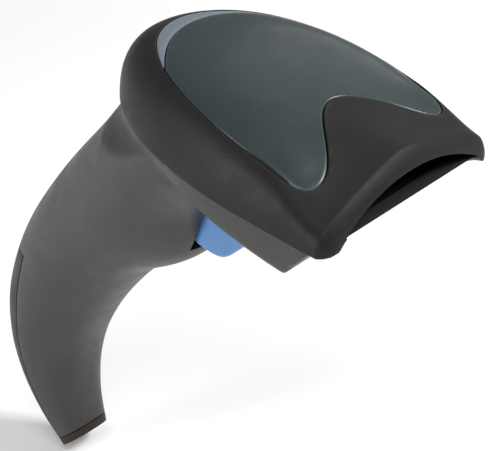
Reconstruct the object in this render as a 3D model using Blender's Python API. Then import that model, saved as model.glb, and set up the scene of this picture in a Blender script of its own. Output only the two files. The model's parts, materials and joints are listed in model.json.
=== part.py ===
"""Handheld barcode scanner: a curved handle under a wide head, with a trigger, a switch and an imager.

Every shape is given in design coordinates in millimetres: x across (the scanner is symmetric about x = 0),
s forward from the back end of the inlaid panel towards the nose, and z up from the panel's edge.
place() turns them into the world frame in metres: nose towards -Y, handle's end standing on z = 0.
"""

import math

import bmesh
import bpy
import numpy as np
from mathutils import Matrix, Vector

MM = 0.001
GAP = 0.3  # clearance between neighbouring pieces
WALL = 2.2  # thickness of the moulded shells
ROOF = 3.6  # thickness of the top cover, panel and its recess included
NOSE_ROOF = 2.0

# Head, seen from above: half an ellipse behind WAIST_S, straight sides in front of it.
WAIST_S = 50.0
HEAD_HALF_WIDTH = 33.4
HEAD_REAR_LENGTH = 63.0
PANEL_HALF_WIDTH = 29.1
PANEL_REAR_LENGTH = 50.0
NOSE_CREASE_S = 74.0
NOSE_CREASE_SWEEP = 1.2
LIP_S = 77.0  # front of the lip round the window recess, at the middle
LIP_SWEEP = 1.0
LIP_INSET = 2.5
LIP_FLOOR_Z = -20.6
CORNER_ROUND = 1.2  # how far the nose's lower corners are drawn back
LIP_BULGE = 1.2
LIP_OVERLAP = 0.6  # how far the lip's lower edge hangs below the window recess's arch

# Middle line of the head's top: a curve each side of the waist, in steps of TOP_UNIT along it.
TOP_UNIT = 50.0
TOP_FALL = 15.1
TOP_CURVE_REAR = 8.4
TOP_CURVE_NOSE = 4.0
CROWN_FALL = 0.7  # fall of the top from its middle to CROWN_REACH, near the panel's edge
CROWN_REACH = 29.0
NOSE_CROWN_SLOPE = 0.28
NOSE_CROWN_ROUND = 6.0
NOSE_START_S = 52.0  # the shoulder's section turns into the nose's from here
NOSE_END_S = 76.0

# The parting line between the black cover and the grey housing falls gently towards the nose.
SEAM_START_Z = -14.3
SEAM_SLOPE = 0.108
SEAM_TILT = math.atan(SEAM_SLOPE)
SHOULDER_POWER = 8.0
SHOULDER_ROUND = 2.2
NOSE_POWER = 15.0
NOSE_ROUND = 3.4
# Lines round the head at shares of its outline, from the outline up to the middle line.
SHARES = [math.sin(math.radians(a)) ** (2 / SHOULDER_POWER) for a in (90, 80, 70, 60, 48, 36, 24, 12)]
SHARES += [0.45, 0.22, 0.06]
COVER_BASE_SHARE = 0.8  # the inner line that closes the cover's underside before it is hollowed
COVER_BASE_S = 40.0

# Window recess in the nose: a parabola over a straight sill.
ARCH_TOP_Z = -11.3
SILL_Z = -18.3
SILL_S = 77.0
ARCH_HALF_WIDTH = 26.0
SILL_OVERCUT = 0.3

# Grey tub under the head.
TUB_DEPTH_FRONT = 11.7
TUB_DEPTH_REAR = 4.1
TUB_SEAM_FRONT_S = 71.5
TUB_CHIN_S = 61.8
TUB_STEP = 0.5
TUB_DEEPENS_FROM_S = 5.0
TUB_DEEPENS_TO_S = 68.0
# The tub's wall: share of its depth, and how far the wall has moved in by then.
TUB_PROFILE = ((0.35, 0.2), (0.8, 0.9), (0.93, 1.9), (1.0, 3.6))

# Handle: back and front points of each cross-section in the symmetry plane, and its half thickness.
HANDLE_SECTIONS = (
    ((-6.0, -11.0), (36.0, -26.0), 27.5),
    ((-15.6, -23.4), (19.3, -41.0), 24.6),
    ((-36.6, -47.6), (10.8, -60.0), 20.8),
    ((-53.6, -72.0), (-8.0, -73.0), 17.0),
    ((-63.0, -95.0), (-23.4, -90.2), 15.0),
    ((-63.9, -112.0), (-34.2, -107.4), 14.0),
    ((-60.8, -127.0), (-38.6, -121.2), 12.0),
    ((-54.6, -140.0), (-38.8, -133.7), 9.8),
    ((-46.2, -151.5), (-36.4, -143.2), 7.6),
)
HANDLE_POWER = 2.3
HANDLE_WALL = 1.9
END_CAP = 1.7
CAP_RIM = 2.3  # height of the end cap's outer wall
REAR_SEAM_TOP = -0.60  # where its seam starts, as a share of the half depth from the middle
REAR_SEAM_END = -0.36  # and where it meets the end cap
REAR_SEAM_BOW = 0.20  # how much further forward the seam runs half way down
REAR_COVER_START = 0.42  # as a share of the way down the handle
REAR_CLEARANCE_DEPTH = 15.0  # half depth that turns the clearance into a share
REAR_CLEARANCE_LENGTH = 170.0  # and the length that does so at the strip's upper end
HANDLE_TUCK = 0.4  # how far the handle's top stays inside the tub's step

# Row frame: middle of the length at y = 0, end of the handle at z = 0.
S_MID = (77.66 - 64.24) / 2
Z_UP = -HANDLE_SECTIONS[-1][0][1]

# Trigger and switch.
PIVOT = (26.0, -25.6)
PIVOT_RADIUS = 1.2
TRIGGER_HALF_WIDTH = 8.0
SLOT_HALF_WIDTH = 8.7
SWITCH_Z = -42.0
LUG_INNER_X = 9.3
LUG_OUTER_X = 12.3

# Inlaid panel: its front edge waves round a tongue, and a crescent lens fills its back end.
PANEL_THICKNESS = 1.0
RECESS_DEPTH = 2.1
TONGUE_S = 59.4
TONGUE_SWING = 7.8
TONGUE_HALF = 23.6
TIP_WIDTH = 5.5
TIP_LENGTH = 5.7
CRESCENT_HALF = 20.6
CRESCENT_FRONT_S = 5.0
CRESCENT_CURVE = 0.0242

# Main board, hung from posts in the cover, with the lamp and light pipe under the crescent.
BOARD_Z = 3.0  # height of the board's middle over the parting line
BOARD_HALF = 0.8
BOARD_SCREWS = ((-17.0, 8.0), (17.0, 8.0), (-19.0, 35.0), (19.0, 35.0))
INDICATOR_S = 3.4
FLEX_END_S = 35.0
FLEX_THICKNESS = 0.3
HARNESS_TOP_Z = -18.2

# Screws from the tub up into the cover.
HOUSING_SCREWS = ((-24.5, 57.0), (24.5, 57.0))
HOUSING_POST_LIFT = 0.2  # low end of the cover's posts, over the parting line
COUNTERBORE_DEPTH = 7.0  # seat of the screws' heads, under the parting line

# Imaging engine on two rubber mounts.
ENGINE_FLOOR = -21.0
ENGINE_TOP = -9.4
ENGINE_SCREW_X = 16.0
ENGINE_SCREW_S = 50.0
EAR_THICKNESS = 1.6
LENS_Z = -15.2
LAMP_X = 9.2

RING_POINTS = 32
HANDLE_RINGS = 17


def place(x, s, z):
    """World position in metres of a point in design coordinates."""
    return Vector((x, S_MID - s, z + Z_UP)) * MM


def smooth_ramp(value, start, end):
    t = min(max((value - start) / (end - start), 0.0), 1.0)
    return t * t * (3 - 2 * t)


# ---------------------------------------------------------------- materials


def material(name, color, roughness, metallic=0.0, transmission=0.0):
    mat = bpy.data.materials.new(name)
    mat.use_nodes = True
    shader = mat.node_tree.nodes["Principled BSDF"]
    shader.inputs["Base Color"].default_value = (*color, 1.0)
    shader.inputs["Roughness"].default_value = roughness
    shader.inputs["Metallic"].default_value = metallic
    shader.inputs["Transmission Weight"].default_value = transmission
    mat.diffuse_color = (*color, 1.0)
    return mat


def make_materials():
    return {
        "black_cover": material("black_cover", (0.030, 0.027, 0.025), 0.62),
        "grey_housing": material("grey_housing", (0.088, 0.088, 0.088), 0.5),
        "rear_plastic": material("rear_plastic", (0.060, 0.054, 0.050), 0.5),
        "panel": material("panel", (0.047, 0.062, 0.062), 0.3),
        "blue_trigger": material("blue_trigger", (0.115, 0.270, 0.640), 0.4),
        "indicator": material("indicator", (0.180, 0.230, 0.270), 0.25),
        "window": material("window", (0.10, 0.02, 0.02), 0.05, 0.0, 0.6),
        "inner_black": material("inner_black", (0.012, 0.012, 0.012), 0.6),
        "rubber": material("rubber", (0.02, 0.02, 0.02), 0.85),
        "circuit_green": material("circuit_green", (0.02, 0.12, 0.05), 0.4),
        "chip": material("chip", (0.015, 0.015, 0.017), 0.45),
        "steel": material("steel", (0.55, 0.55, 0.57), 0.3, 1.0),
        "gold": material("gold", (0.75, 0.52, 0.20), 0.3, 1.0),
        "glass": material("glass", (0.85, 0.88, 0.90), 0.04, 0.0, 0.9),
        "white_plastic": material("white_plastic", (0.75, 0.74, 0.70), 0.45),
        "led": material("led", (0.80, 0.78, 0.60), 0.3),
        "flex": material("flex", (0.55, 0.30, 0.08), 0.4),
        "cable": material("cable", (0.03, 0.03, 0.03), 0.55),
    }


# ---------------------------------------------------------------- mesh helpers


def make_object(name, points, faces, mat, crease_degrees=35):
    """A closed mesh from design-coordinate points, with its faces turned outwards."""
    mesh = bpy.data.meshes.new(name)
    mesh.from_pydata([place(*p) for p in points], [], faces)
    bm = bmesh.new()
    bm.from_mesh(mesh)
    bmesh.ops.recalc_face_normals(bm, faces=bm.faces)
    bm.to_mesh(mesh)
    bm.free()
    mesh.shade_smooth()
    mesh.set_sharp_from_angle(angle=math.radians(crease_degrees))
    obj = bpy.data.objects.new(name, mesh)
    bpy.context.collection.objects.link(obj)
    if mat:
        mesh.materials.append(mat)
    return obj


def loft(name, rings, mat=None, ridge=False):
    """A closed solid through rings of equal length, with a fan of triangles at each end.

    With ridge, the last ring is a narrow loop, and its two sides are joined straight across instead.
    """
    count = len(rings[0])
    points = [p for ring in rings for p in ring]
    faces = []
    for j in range(len(rings) - 1):
        for i in range(count):
            k = (i + 1) % count
            faces.append((j * count + i, j * count + k, (j + 1) * count + k, (j + 1) * count + i))
    last = len(rings) - 1
    if ridge:
        for i in range(count // 2):
            corners = (i, i + 1, count - 2 - i, count - 1 - i)
            faces.append([last * count + c for c in dict.fromkeys(corners)])
    for j in (0,) if ridge else (0, last):
        centre = len(points)
        points.append(tuple(np.mean(rings[j], axis=0)))
        for i in range(count):
            faces.append((j * count + i, j * count + (i + 1) % count, centre))
    return make_object(name, points, faces, mat)


def prism(name, outline, low, high, axis, mat=None):
    """Extrudes an outline along one design axis. The outline's pairs fill the other two axes in order."""

    def at(pair, level):
        point = list(pair)
        point.insert(axis, level)
        return tuple(point)

    count = len(outline)
    points = [at(pair, low) for pair in outline] + [at(pair, high) for pair in outline]
    faces = [tuple(range(count)), tuple(range(count, 2 * count))]
    for i in range(count):
        k = (i + 1) % count
        faces.append((i, k, count + k, count + i))
    return make_object(name, points, faces, mat)


def box(name, low, high, mat=None, bevel=0.0):
    outline = ((low[0], low[1]), (high[0], low[1]), (high[0], high[1]), (low[0], high[1]))
    obj = prism(name, outline, low[2], high[2], 2, mat)
    if bevel:
        add_bevel(obj, bevel)
    return obj


def rod(name, start, end, radius, mat=None, sides=16, end_radius=None):
    """A cylinder or cone between two design points."""
    start, end = Vector(start), Vector(end)
    along = (end - start).normalized()
    side = along.orthogonal().normalized()
    other = along.cross(side)
    rings = []
    for centre, r in ((start, radius), (end, radius if end_radius is None else end_radius)):
        rings.append([tuple(centre + side * a + other * b) for a, b in circle(r, sides)])
    return loft(name, rings, mat)


def post(name, x, s, low, high, radius, pilot_radius, pilot_depth):
    """An upright screw post with a blind hole in its lower end."""
    rings = []
    for z, r in ((high, radius), (low, radius), (low, pilot_radius), (low + pilot_depth, pilot_radius)):
        rings.append([(x + a, s + b, z) for a, b in circle(r, 12)])
    return loft(name, rings)


def add_bevel(obj, width_mm, segments=1):
    bevel = obj.modifiers.new("rounded_edges", "BEVEL")
    bevel.width = width_mm * MM
    bevel.segments = segments
    bevel.limit_method = "ANGLE"
    bevel.angle_limit = math.radians(40)


def combine(target, helper, operation):
    """Joins, cuts or intersects target with helper, which is a helper shape and not a node."""
    boolean = target.modifiers.new(operation.lower() + "_" + helper.name, "BOOLEAN")
    boolean.operation = operation
    boolean.solver = "EXACT"
    boolean.object = helper
    helper.hide_render = True
    helper.display_type = "WIRE"


def cut(target, *helpers):
    for helper in helpers:
        combine(target, helper, "DIFFERENCE")


def join(target, *helpers):
    for helper in helpers:
        combine(target, helper, "UNION")


def catmull_rom(p0, p1, p2, p3, f):
    """A point at share f of the stretch from p1 to p2, on a smooth curve through all four."""
    linear = (p2 - p0) * f
    square = (2 * p0 - 5 * p1 + 4 * p2 - p3) * f**2
    cubic = (3 * p1 - p0 - 3 * p2 + p3) * f**3
    return 0.5 * (2 * p1 + linear + square + cubic)


def circle(radius, sides):
    """Points round a circle at the origin, as pairs."""
    angles = [2 * math.pi * i / sides for i in range(sides)]
    return [(radius * math.cos(a), radius * math.sin(a)) for a in angles]


def tilt_with_seam(obj, pivot_s, pivot_z):
    """Turns a head-mounted piece about a point, so that it lies along the parting line."""
    centre = place(0, pivot_s, pivot_z)
    turn = Matrix.Rotation(SEAM_TILT, 4, "X")
    obj.matrix_world = Matrix.Translation(centre) @ turn @ Matrix.Translation(-centre)


# ---------------------------------------------------------------- head surfaces


def seam_z(s):
    return SEAM_START_Z - SEAM_SLOPE * s


def side_share(x, s):
    """0 on the head's middle line and 1 on its outline."""
    back = max(WAIST_S - s, 0.0) / HEAD_REAR_LENGTH
    return math.hypot(x / HEAD_HALF_WIDTH, back)


def top_z(x, s):
    """Height of the head's crowned top, which rolls down to the parting line at the outline."""
    q = (s - WAIST_S) / TOP_UNIT
    curve = -TOP_CURVE_REAR if q < 0 else TOP_CURVE_NOSE
    middle = -TOP_FALL * q + curve * q * q
    nose = smooth_ramp(s, NOSE_START_S, NOSE_END_S)
    nose_crown = NOSE_CROWN_SLOPE * (math.hypot(x, NOSE_CROWN_ROUND) - NOSE_CROWN_ROUND)
    crown = CROWN_FALL * (x / CROWN_REACH) ** 2 + nose * nose_crown
    share = min(side_share(x, s), 1.0)
    power = SHOULDER_POWER + (NOSE_POWER - SHOULDER_POWER) * nose
    roundness = SHOULDER_ROUND + (NOSE_ROUND - SHOULDER_ROUND) * nose
    roll = (1.0 - share**power) ** (1.0 / roundness)
    return seam_z(s) + (middle - crown - seam_z(s)) * roll


def head_line(share, inset, front_s):
    """One line round the head at a share of its outline, from the nose round the back to the nose."""
    half_width = HEAD_HALF_WIDTH * share - inset
    length = HEAD_REAR_LENGTH * share - inset
    line = [(-half_width, s) for s in np.linspace(front_s, WAIST_S, 5)[:-1]]
    for angle in np.linspace(-90, 90, RING_POINTS - 9):
        a = math.radians(angle)
        line.append((half_width * math.sin(a), WAIST_S - length * math.cos(a)))
    line += [(half_width, s) for s in np.linspace(WAIST_S, front_s, 5)[1:]]
    return line


def nose_corner(share):
    """How far the nose's lower corner is drawn back: nothing but for the lines nearest the outline."""
    return CORNER_ROUND * share**40


def nose_lip(share, crease):
    """The lip's lower edge over the window and its rounded front, on the near side."""
    x = -share * (HEAD_HALF_WIDTH - LIP_INSET)
    corner = nose_corner(share)
    edge_s = LIP_S + LIP_SWEEP * share**4 - 1.3 * corner
    edge = Vector((x, edge_s, max(arch_z(x) - LIP_OVERLAP, LIP_FLOOR_Z - corner)))
    front = (edge + Vector(crease)) / 2 + Vector((0.0, LIP_BULGE, 0.0))
    return [tuple(edge), tuple(front)]


def cover_rings():
    """Outer skin of the top cover, from the parting line up to the middle line, with the nose's lip."""
    rings = []
    for share in SHARES:
        crease_s = NOSE_CREASE_S + NOSE_CREASE_SWEEP * share**2 - nose_corner(share)
        line = head_line(share, 0.0, crease_s)
        ring = [(x, s, top_z(x, s) + (GAP / 2 if share == 1.0 else 0.0)) for x, s in line]
        near = nose_lip(share, ring[0])
        far = [(-x, s, z) for x, s, z in reversed(near)]
        rings.append(near + ring + far)
    base = []
    for x, s, _ in rings[0]:
        base.append((COVER_BASE_SHARE * x, COVER_BASE_S + COVER_BASE_SHARE * (s - COVER_BASE_S)))
    return [[(x, s, seam_z(s) + GAP / 2) for x, s in base]] + rings


def roof_z(x, s):
    """Underside of the top cover."""
    return top_z(x, s) - ROOF + (ROOF - NOSE_ROOF) * smooth_ramp(s, 61.0, 68.0)


def cover_cavity_rings(front_s):
    """The hollow of the top cover, which starts well below the parting line."""
    rings = []
    for share in SHARES:
        line = head_line(share, WALL * share, front_s)
        if share == 1.0:
            rings.append([(x, s, seam_z(s) - 5.0) for x, s in line])
        rings.append([(x, s, roof_z(x, s) - (1.6 if share == 1.0 else 0.0)) for x, s in line])
    return rings


def tub_rings(inset, top_offset, bottom_inset):
    """Grey tub under the head: the head's outline swept down to a floor, its front sloping in to a chin."""
    rings = []
    for depth, shrink in ((top_offset, 0.0), *TUB_PROFILE):
        fraction = max(depth, 0.0)
        front_s = TUB_SEAM_FRONT_S + (TUB_CHIN_S - TUB_SEAM_FRONT_S) * fraction - inset
        line = head_line(1.0, TUB_STEP + inset + shrink, front_s)
        ring = []
        for x, s in line:
            deeper = smooth_ramp(s, TUB_DEEPENS_FROM_S, TUB_DEEPENS_TO_S)
            total = TUB_DEPTH_REAR + (TUB_DEPTH_FRONT - TUB_DEPTH_REAR) * deeper
            ring.append((x, s, seam_z(s) - GAP / 2 - depth * (total - bottom_inset)))
        rings.append(ring)
    return rings


# ---------------------------------------------------------------- handle surface


def handle_section(t):
    """Back point, front point and half thickness at a share t of the way down, on a smooth curve."""
    last = len(HANDLE_SECTIONS) - 1
    table = np.array([(*back, *front, half) for back, front, half in HANDLE_SECTIONS])
    position = min(max(t, 0.0), 1.0) * last
    i = min(int(position), last - 1)
    p1, p2 = table[i], table[i + 1]
    p0 = table[i - 1] if i > 0 else 2 * p1 - p2
    p3 = table[i + 2] if i + 2 <= last else 2 * p2 - p1
    row = catmull_rom(p0, p1, p2, p3, position - i)
    return row[0:2], row[2:4], row[4]


def handle_point(t, depth, across):
    """A point of the handle: depth -1 at its back and 1 at its front, across as a share of half its width."""
    back, front, half = handle_section(t)
    middle = (back + front) / 2 + (front - back) / 2 * depth
    return (half * across, middle[0], middle[1])


def handle_ring(t, inset, slide=(0.0, 0.0)):
    back, front, half = handle_section(t)
    axis = (front - back) / np.linalg.norm(front - back)
    half_depth = np.linalg.norm(front - back) / 2 - inset
    centre = (back + front) / 2 + np.array(slide)
    ring = []
    for i in range(RING_POINTS):
        a = 2 * math.pi * i / RING_POINTS
        c, n = math.cos(a), math.sin(a)
        depth = math.copysign(abs(c) ** (2 / HANDLE_POWER), c) * half_depth
        across = math.copysign(abs(n) ** (2 / HANDLE_POWER), n) * (half - inset)
        s, z = centre + axis * depth
        ring.append(under_head(across, s, z, inset))
    return ring


def under_head(x, s, z, inset):
    """Draws a point of the handle in to the head's outline where it is close under the parting line."""
    depth = max(seam_z(s) - z, 0.0)
    tuck = (TUB_STEP + HANDLE_TUCK + inset) / HEAD_HALF_WIDTH
    allowed = 1.0 - tuck + 0.005 * depth + 0.0006 * depth**2
    shrink = min(allowed / side_share(x, s), 1.0)
    return (x * shrink, WAIST_S + (s - WAIST_S) * shrink, z)


def end_normal():
    """Direction in the s-z plane that the handle's flat end faces."""
    back, front, _ = handle_section(1.0)
    along = (front - back) / np.linalg.norm(front - back)
    return np.array((along[1], -along[0]))


def handle_solid(name, inset=0.0, end_stop=0.0):
    """The handle's body, or the hollow inset from it, down to end_stop millimetres before its flat end."""
    rings = [handle_ring(t, inset) for t in np.linspace(0.0, 1.0, HANDLE_RINGS)]
    if end_stop:
        rings[-1] = handle_ring(1.0, inset, -end_normal() * end_stop)
        rings.insert(0, handle_ring(0.0, inset, (-2.0, 3.0)))
    return loft(name, rings)


# ---------------------------------------------------------------- inlaid panel outlines


def panel_rear_s(x):
    return WAIST_S - PANEL_REAR_LENGTH * math.sqrt(1 - (x / PANEL_HALF_WIDTH) ** 2)


def crescent_front_s(x):
    return CRESCENT_FRONT_S + CRESCENT_CURVE * x * x


def panel_front():
    """Front edge of the panel from the far tip round the tongue to the near tip."""
    tip_s = TONGUE_S + TONGUE_SWING - TIP_LENGTH
    tip = []
    for degrees in (0, 22, 45, 68):
        a = math.radians(degrees)
        tip.append((TONGUE_HALF + TIP_WIDTH * math.cos(a), tip_s + TIP_LENGTH * math.sin(a)))
    middle = [
        (x, TONGUE_S - TONGUE_SWING * math.cos(math.pi * x / TONGUE_HALF))
        for x in np.linspace(TONGUE_HALF, -TONGUE_HALF, 15)
    ]
    return tip + middle + [(-x, s) for x, s in reversed(tip)]


def recess_outline():
    rear = []
    for degrees in np.linspace(-90, 90, 23):
        a = math.radians(degrees)
        rear.append((PANEL_HALF_WIDTH * math.sin(a), WAIST_S - PANEL_REAR_LENGTH * math.cos(a)))
    return rear + panel_front()


def panel_outline():
    """The recess outline with the crescent at its back left out."""
    outline = []
    for x, s in recess_outline():
        if abs(x) < CRESCENT_HALF and s < WAIST_S / 2:
            s = crescent_front_s(x) + GAP
        outline.append((x, s))
    return outline


def offset_outline(outline, distance):
    """Moves each point of an outline inwards, at a right angle to its neighbours' chord."""
    moved = []
    count = len(outline)
    for i in range(count):
        before, after = Vector(outline[i - 1]), Vector(outline[(i + 1) % count])
        along = (after - before).normalized()
        moved.append((outline[i][0] - along.y * distance, outline[i][1] + along.x * distance))
    return moved


def draped_solid(name, outline, top, bottom, mat=None):
    """A solid between two heights given as functions of (x, s), over an outline seen from above."""
    centre = Vector((0.0, 30.0))
    shares = (0.02, 0.4, 0.7, 0.87, 0.96, 1.0)
    rings = []
    for level, order in ((bottom, shares), (top, shares[::-1])):
        for share in order:
            ring = [centre + (Vector(p) - centre) * share for p in outline]
            rings.append([(p.x, p.y, level(p.x, p.y)) for p in ring])
    return loft(name, rings, mat)


# ---------------------------------------------------------------- shells


def arch_z(x):
    """Upper edge of the window recess."""
    return ARCH_TOP_Z - (ARCH_TOP_Z - SILL_Z) * (x / ARCH_HALF_WIDTH) ** 2


def arch_outline(grow, floor_grow=None):
    """Outline of the nose's window recess in x and z, grown outwards by a margin above and below."""
    curve = (ARCH_TOP_Z - SILL_Z) / ARCH_HALF_WIDTH**2
    top = ARCH_TOP_Z + grow
    floor = SILL_Z - (grow if floor_grow is None else floor_grow)
    half = math.sqrt((top - floor) / curve)
    return [(x, top - curve * x * x) for x in np.linspace(half, -half, 15)]


def above_seam(name, offset):
    """Everything above the parting line, shifted up by offset."""
    outline = ((-60, seam_z(-60) + offset), (110, seam_z(110) + offset), (110, 40), (-60, 40))
    return prism(name, outline, -60, 60, 0)


def make_top_cover(mats):
    """The black cover: a crowned shell with screw posts, the panel's recess and the window's opening."""
    cover = loft("top_cover", cover_rings(), mats["black_cover"], ridge=True)
    cut(cover, loft("cover_cavity", cover_cavity_rings(73.0), ridge=True))
    posts = [(x, s, seam_z(s) + BOARD_Z + BOARD_HALF + GAP) for x, s in BOARD_SCREWS]
    posts += [(x, s, seam_z(s) + HOUSING_POST_LIFT) for x, s in HOUSING_SCREWS]
    for i, (x, s, low) in enumerate(posts):
        join(cover, post(f"cover_post_{i}", x, s, low, roof_z(x, s) + 0.8, 2.7, 1.2, 6.5))
    cut(cover, draped_solid("panel_recess", recess_outline(), lambda x, s: 20.0, recess_floor))
    cut(cover, prism("window_opening", arch_outline(0.0), 60, 90, 1))
    sill = SILL_Z - SILL_OVERCUT
    lip = ((SILL_S, sill), (90, sill), (90, -30), (SILL_S - 8, -30))
    cut(cover, prism("sill_chamfer", lip, -ARCH_HALF_WIDTH, ARCH_HALF_WIDTH, 0))
    cut(cover, rod("light_pipe_hole", (0, INDICATOR_S, -8), (0, INDICATOR_S, 8), 1.8, None, 12))


def recess_floor(x, s):
    return top_z(x, s) - RECESS_DEPTH


def rear_region(name, clearance):
    """The part of the handle that belongs to the rear cover: a strip down its back and its flat end."""
    rings = []
    start = REAR_COVER_START - clearance / REAR_CLEARANCE_LENGTH
    for down in np.linspace(0.0, 1.0, 16):
        t = start + (1.0 - start) * down
        seam = REAR_SEAM_TOP + (REAR_SEAM_END - REAR_SEAM_TOP) * down
        seam += REAR_SEAM_BOW * math.sin(math.pi * down)
        edge = seam + clearance / REAR_CLEARANCE_DEPTH
        corners = ((-1.6, -1.4), (edge, -1.4), (edge, 1.4), (-1.6, 1.4))
        rings.append([handle_point(t, depth, across) for depth, across in corners])
    strip = loft(name, rings)
    slab_rings = []
    for lift in (CAP_RIM + clearance, -4.0):
        shift = -end_normal() * lift
        ring = [handle_point(1.0, depth, across) for depth, across in ((-2, -2), (2, -2), (2, 2), (-2, 2))]
        slab_rings.append([(x, s + shift[0], z + shift[1]) for x, s, z in ring])
    join(strip, loft(name + "_end", slab_rings))
    return strip


def trigger_slot():
    outline = ((9.0, -56.2), (20.0, -56.6), (37.0, -44.0), (34.9, -27.0), (12.0, -27.0))
    return prism("trigger_slot", outline, -SLOT_HALF_WIDTH, SLOT_HALF_WIDTH, 0)


def add_trigger_support(housing):
    """A bridge across the handle with two lugs for the trigger's pin, and the rib behind the switch."""
    bridge = box("trigger_bridge", (-40, 22.0, -23.0), (40, 30.0, -21.0))
    combine(bridge, handle_solid("bridge_core", 0.8, END_CAP), "INTERSECT")
    rib = box("switch_rib", (-40, 0.4, -51.0), (40, 2.2, -36.0))
    combine(rib, handle_solid("handle_core", 0.8, END_CAP), "INTERSECT")
    join(housing, bridge, rib)
    s, z = PIVOT
    for side in (-1, 1):
        low, high = sorted((side * LUG_INNER_X, side * LUG_OUTER_X))
        join(housing, box(f"pivot_lug_{side}", (low, s - 3, z - 3), (high, s + 3, -21.5)))
    cut(housing, rod("pivot_bore", (-14, s, z), (14, s, z), PIVOT_RADIUS + GAP, None, 12))


def add_screw_posts(housing):
    """Posts for the imaging engine, and the bored seats of the screws that hold the cover down."""
    for side in (-1, 1):
        x = side * ENGINE_SCREW_X
        top = ENGINE_FLOOR - 1.5
        join(housing, post(f"engine_post_{side}", x, ENGINE_SCREW_S, top, -29.2, 2.8, 1.2, -5.0))
    for i, (x, s) in enumerate(HOUSING_SCREWS):
        top = seam_z(s) + HOUSING_POST_LIFT - GAP
        seat = seam_z(s) - COUNTERBORE_DEPTH
        join(housing, rod(f"screw_seat_{i}", (x, s, seam_z(s) - 10.4), (x, s, top), 3.4, None, 12))
        cut(housing, rod(f"screw_bore_{i}", (x, s, -45), (x, s, -10), 1.5, None, 10))
        cut(housing, rod(f"screw_counterbore_{i}", (x, s, -45), (x, s, seat), 2.5, None, 12))


def make_lower_housing(mats):
    """The grey shell: the tub under the head and the hollow handle, as one moulding."""
    housing = loft("lower_housing", tub_rings(0.0, -0.2, 0.0), mats["grey_housing"])
    join(housing, handle_solid("handle_body"))
    cut(housing, handle_solid("handle_cavity", HANDLE_WALL, END_CAP))
    cut(housing, loft("tub_cavity", tub_rings(WALL, -0.3, WALL)))
    cut(housing, above_seam("seam_trim", -GAP / 2), rear_region("rear_opening", GAP), trigger_slot())
    add_trigger_support(housing)
    add_screw_posts(housing)


def make_rear_cover(mats):
    cover = handle_solid("rear_cover")
    cover.data.materials.append(mats["rear_plastic"])
    cut(cover, handle_solid("rear_cavity", HANDLE_WALL, END_CAP))
    combine(cover, rear_region("rear_strip", 0.0), "INTERSECT")
    cut(cover, socket_block("socket_outlet", 3.4, 2.6, -2.0, 6.0))


def make_panel(mats):
    outline = offset_outline(panel_outline(), GAP)
    draped_solid("inlay_panel", outline, top_z, lambda x, s: top_z(x, s) - PANEL_THICKNESS, mats["panel"])


def make_indicator_lens(mats):
    rings = []
    for x in np.linspace(-CRESCENT_HALF + 0.6, CRESCENT_HALF - 0.6, 17):
        back = panel_rear_s(x) + GAP
        front = crescent_front_s(x) - GAP
        back_top, front_top = top_z(x, back), top_z(x, front)
        low = max(back_top, front_top) - PANEL_THICKNESS
        rings.append([(x, back, back_top), (x, front, front_top), (x, front, low), (x, back, low)])
    loft("indicator_lens", rings, mats["indicator"])


def make_nose(mats):
    """The black funnel in the recess, and the dark window behind it on its gasket."""
    bezel = prism("nose_bezel", arch_outline(0.9, 0.7), 66.0, 72.6, 1, mats["inner_black"])
    funnel = []
    for s, grow in ((65.0, -2.4), (66.0, -2.2), (72.6, 0.0), (74.0, 0.2)):
        funnel.append([(x, s, z) for x, z in arch_outline(grow)])
    cut(bezel, loft("bezel_funnel", funnel))
    gasket = prism("window_gasket", arch_outline(0.6), 64.6, 65.7, 1, mats["rubber"])
    cut(gasket, prism("gasket_hole", arch_outline(-2.2), 60, 70, 1))
    prism("scan_window", arch_outline(0.0), 62.8, 64.3, 1, mats["window"])


# ---------------------------------------------------------------- trigger, switch and cable socket


def make_trigger(mats):
    """A hollow moulded trigger: a curved finger face below, and a hub round the pin at its top."""
    finger_face = ((34.0, -32.0), (33.9, -37.0), (32.8, -42.0), (30.2, -47.0), (26.6, -51.4), (23.6, -54.0))
    foot = ((21.0, -54.9), (17.0, -54.6), (12.6, -53.2), (11.9, -50.0))
    back = ((12.3, -38.0), (20.0, -31.0), (22.6, -26.6))
    hub = ((23.6, -23.9), (26.0, -23.4), (28.6, -24.2))
    outline = finger_face + foot + back + hub
    trigger = prism("trigger", outline, -TRIGGER_HALF_WIDTH, TRIGGER_HALF_WIDTH, 0, mats["blue_trigger"])
    s, z = PIVOT
    hollow_back = ((14.3, -50.5), (14.7, -39.0), (20.8, -33.0))
    hollow_front = ((31.0, -33.4), (31.0, -38.0), (28.0, -46.0), (22.5, -51.8))
    pocket = prism("trigger_hollow", hollow_back + hollow_front, -6.0, 6.0, 0)
    window = prism("trigger_back_opening", ((8, -48.0), (8, -45.5), (16, -45.5), (16, -48.0)), -4, 4, 0)
    cut(trigger, pocket, window)
    for side in (-1, 1):
        low, high = sorted((side * 5.2, side * 9.5))
        cut(trigger, box(f"hub_relief_{side}", (low, 18, -31.0), (high, 38, -20)))
    cut(trigger, rod("trigger_bore", (-10, s, z), (10, s, z), PIVOT_RADIUS + GAP, None, 12))
    add_bevel(trigger, 0.5)
    return trigger


def make_pin_and_spring(mats):
    s, z = PIVOT
    rod("trigger_pin", (-12.2, s, z), (12.2, s, z), PIVOT_RADIUS, mats["steel"], 14)
    turns = 3.2
    per_turn = 12
    pitch = 0.75
    radius = 1.95
    start_x = 5.9
    path = [(start_x, s - 2.6, z + 1.6)]
    for i in range(int(turns * per_turn) + 1):
        a = math.pi * 0.75 + 2 * math.pi * i / per_turn
        path.append((start_x + pitch * i / per_turn, s + radius * math.cos(a), z + radius * math.sin(a)))
    wire("trigger_spring", path, 0.28, mats["steel"], 1)


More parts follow.
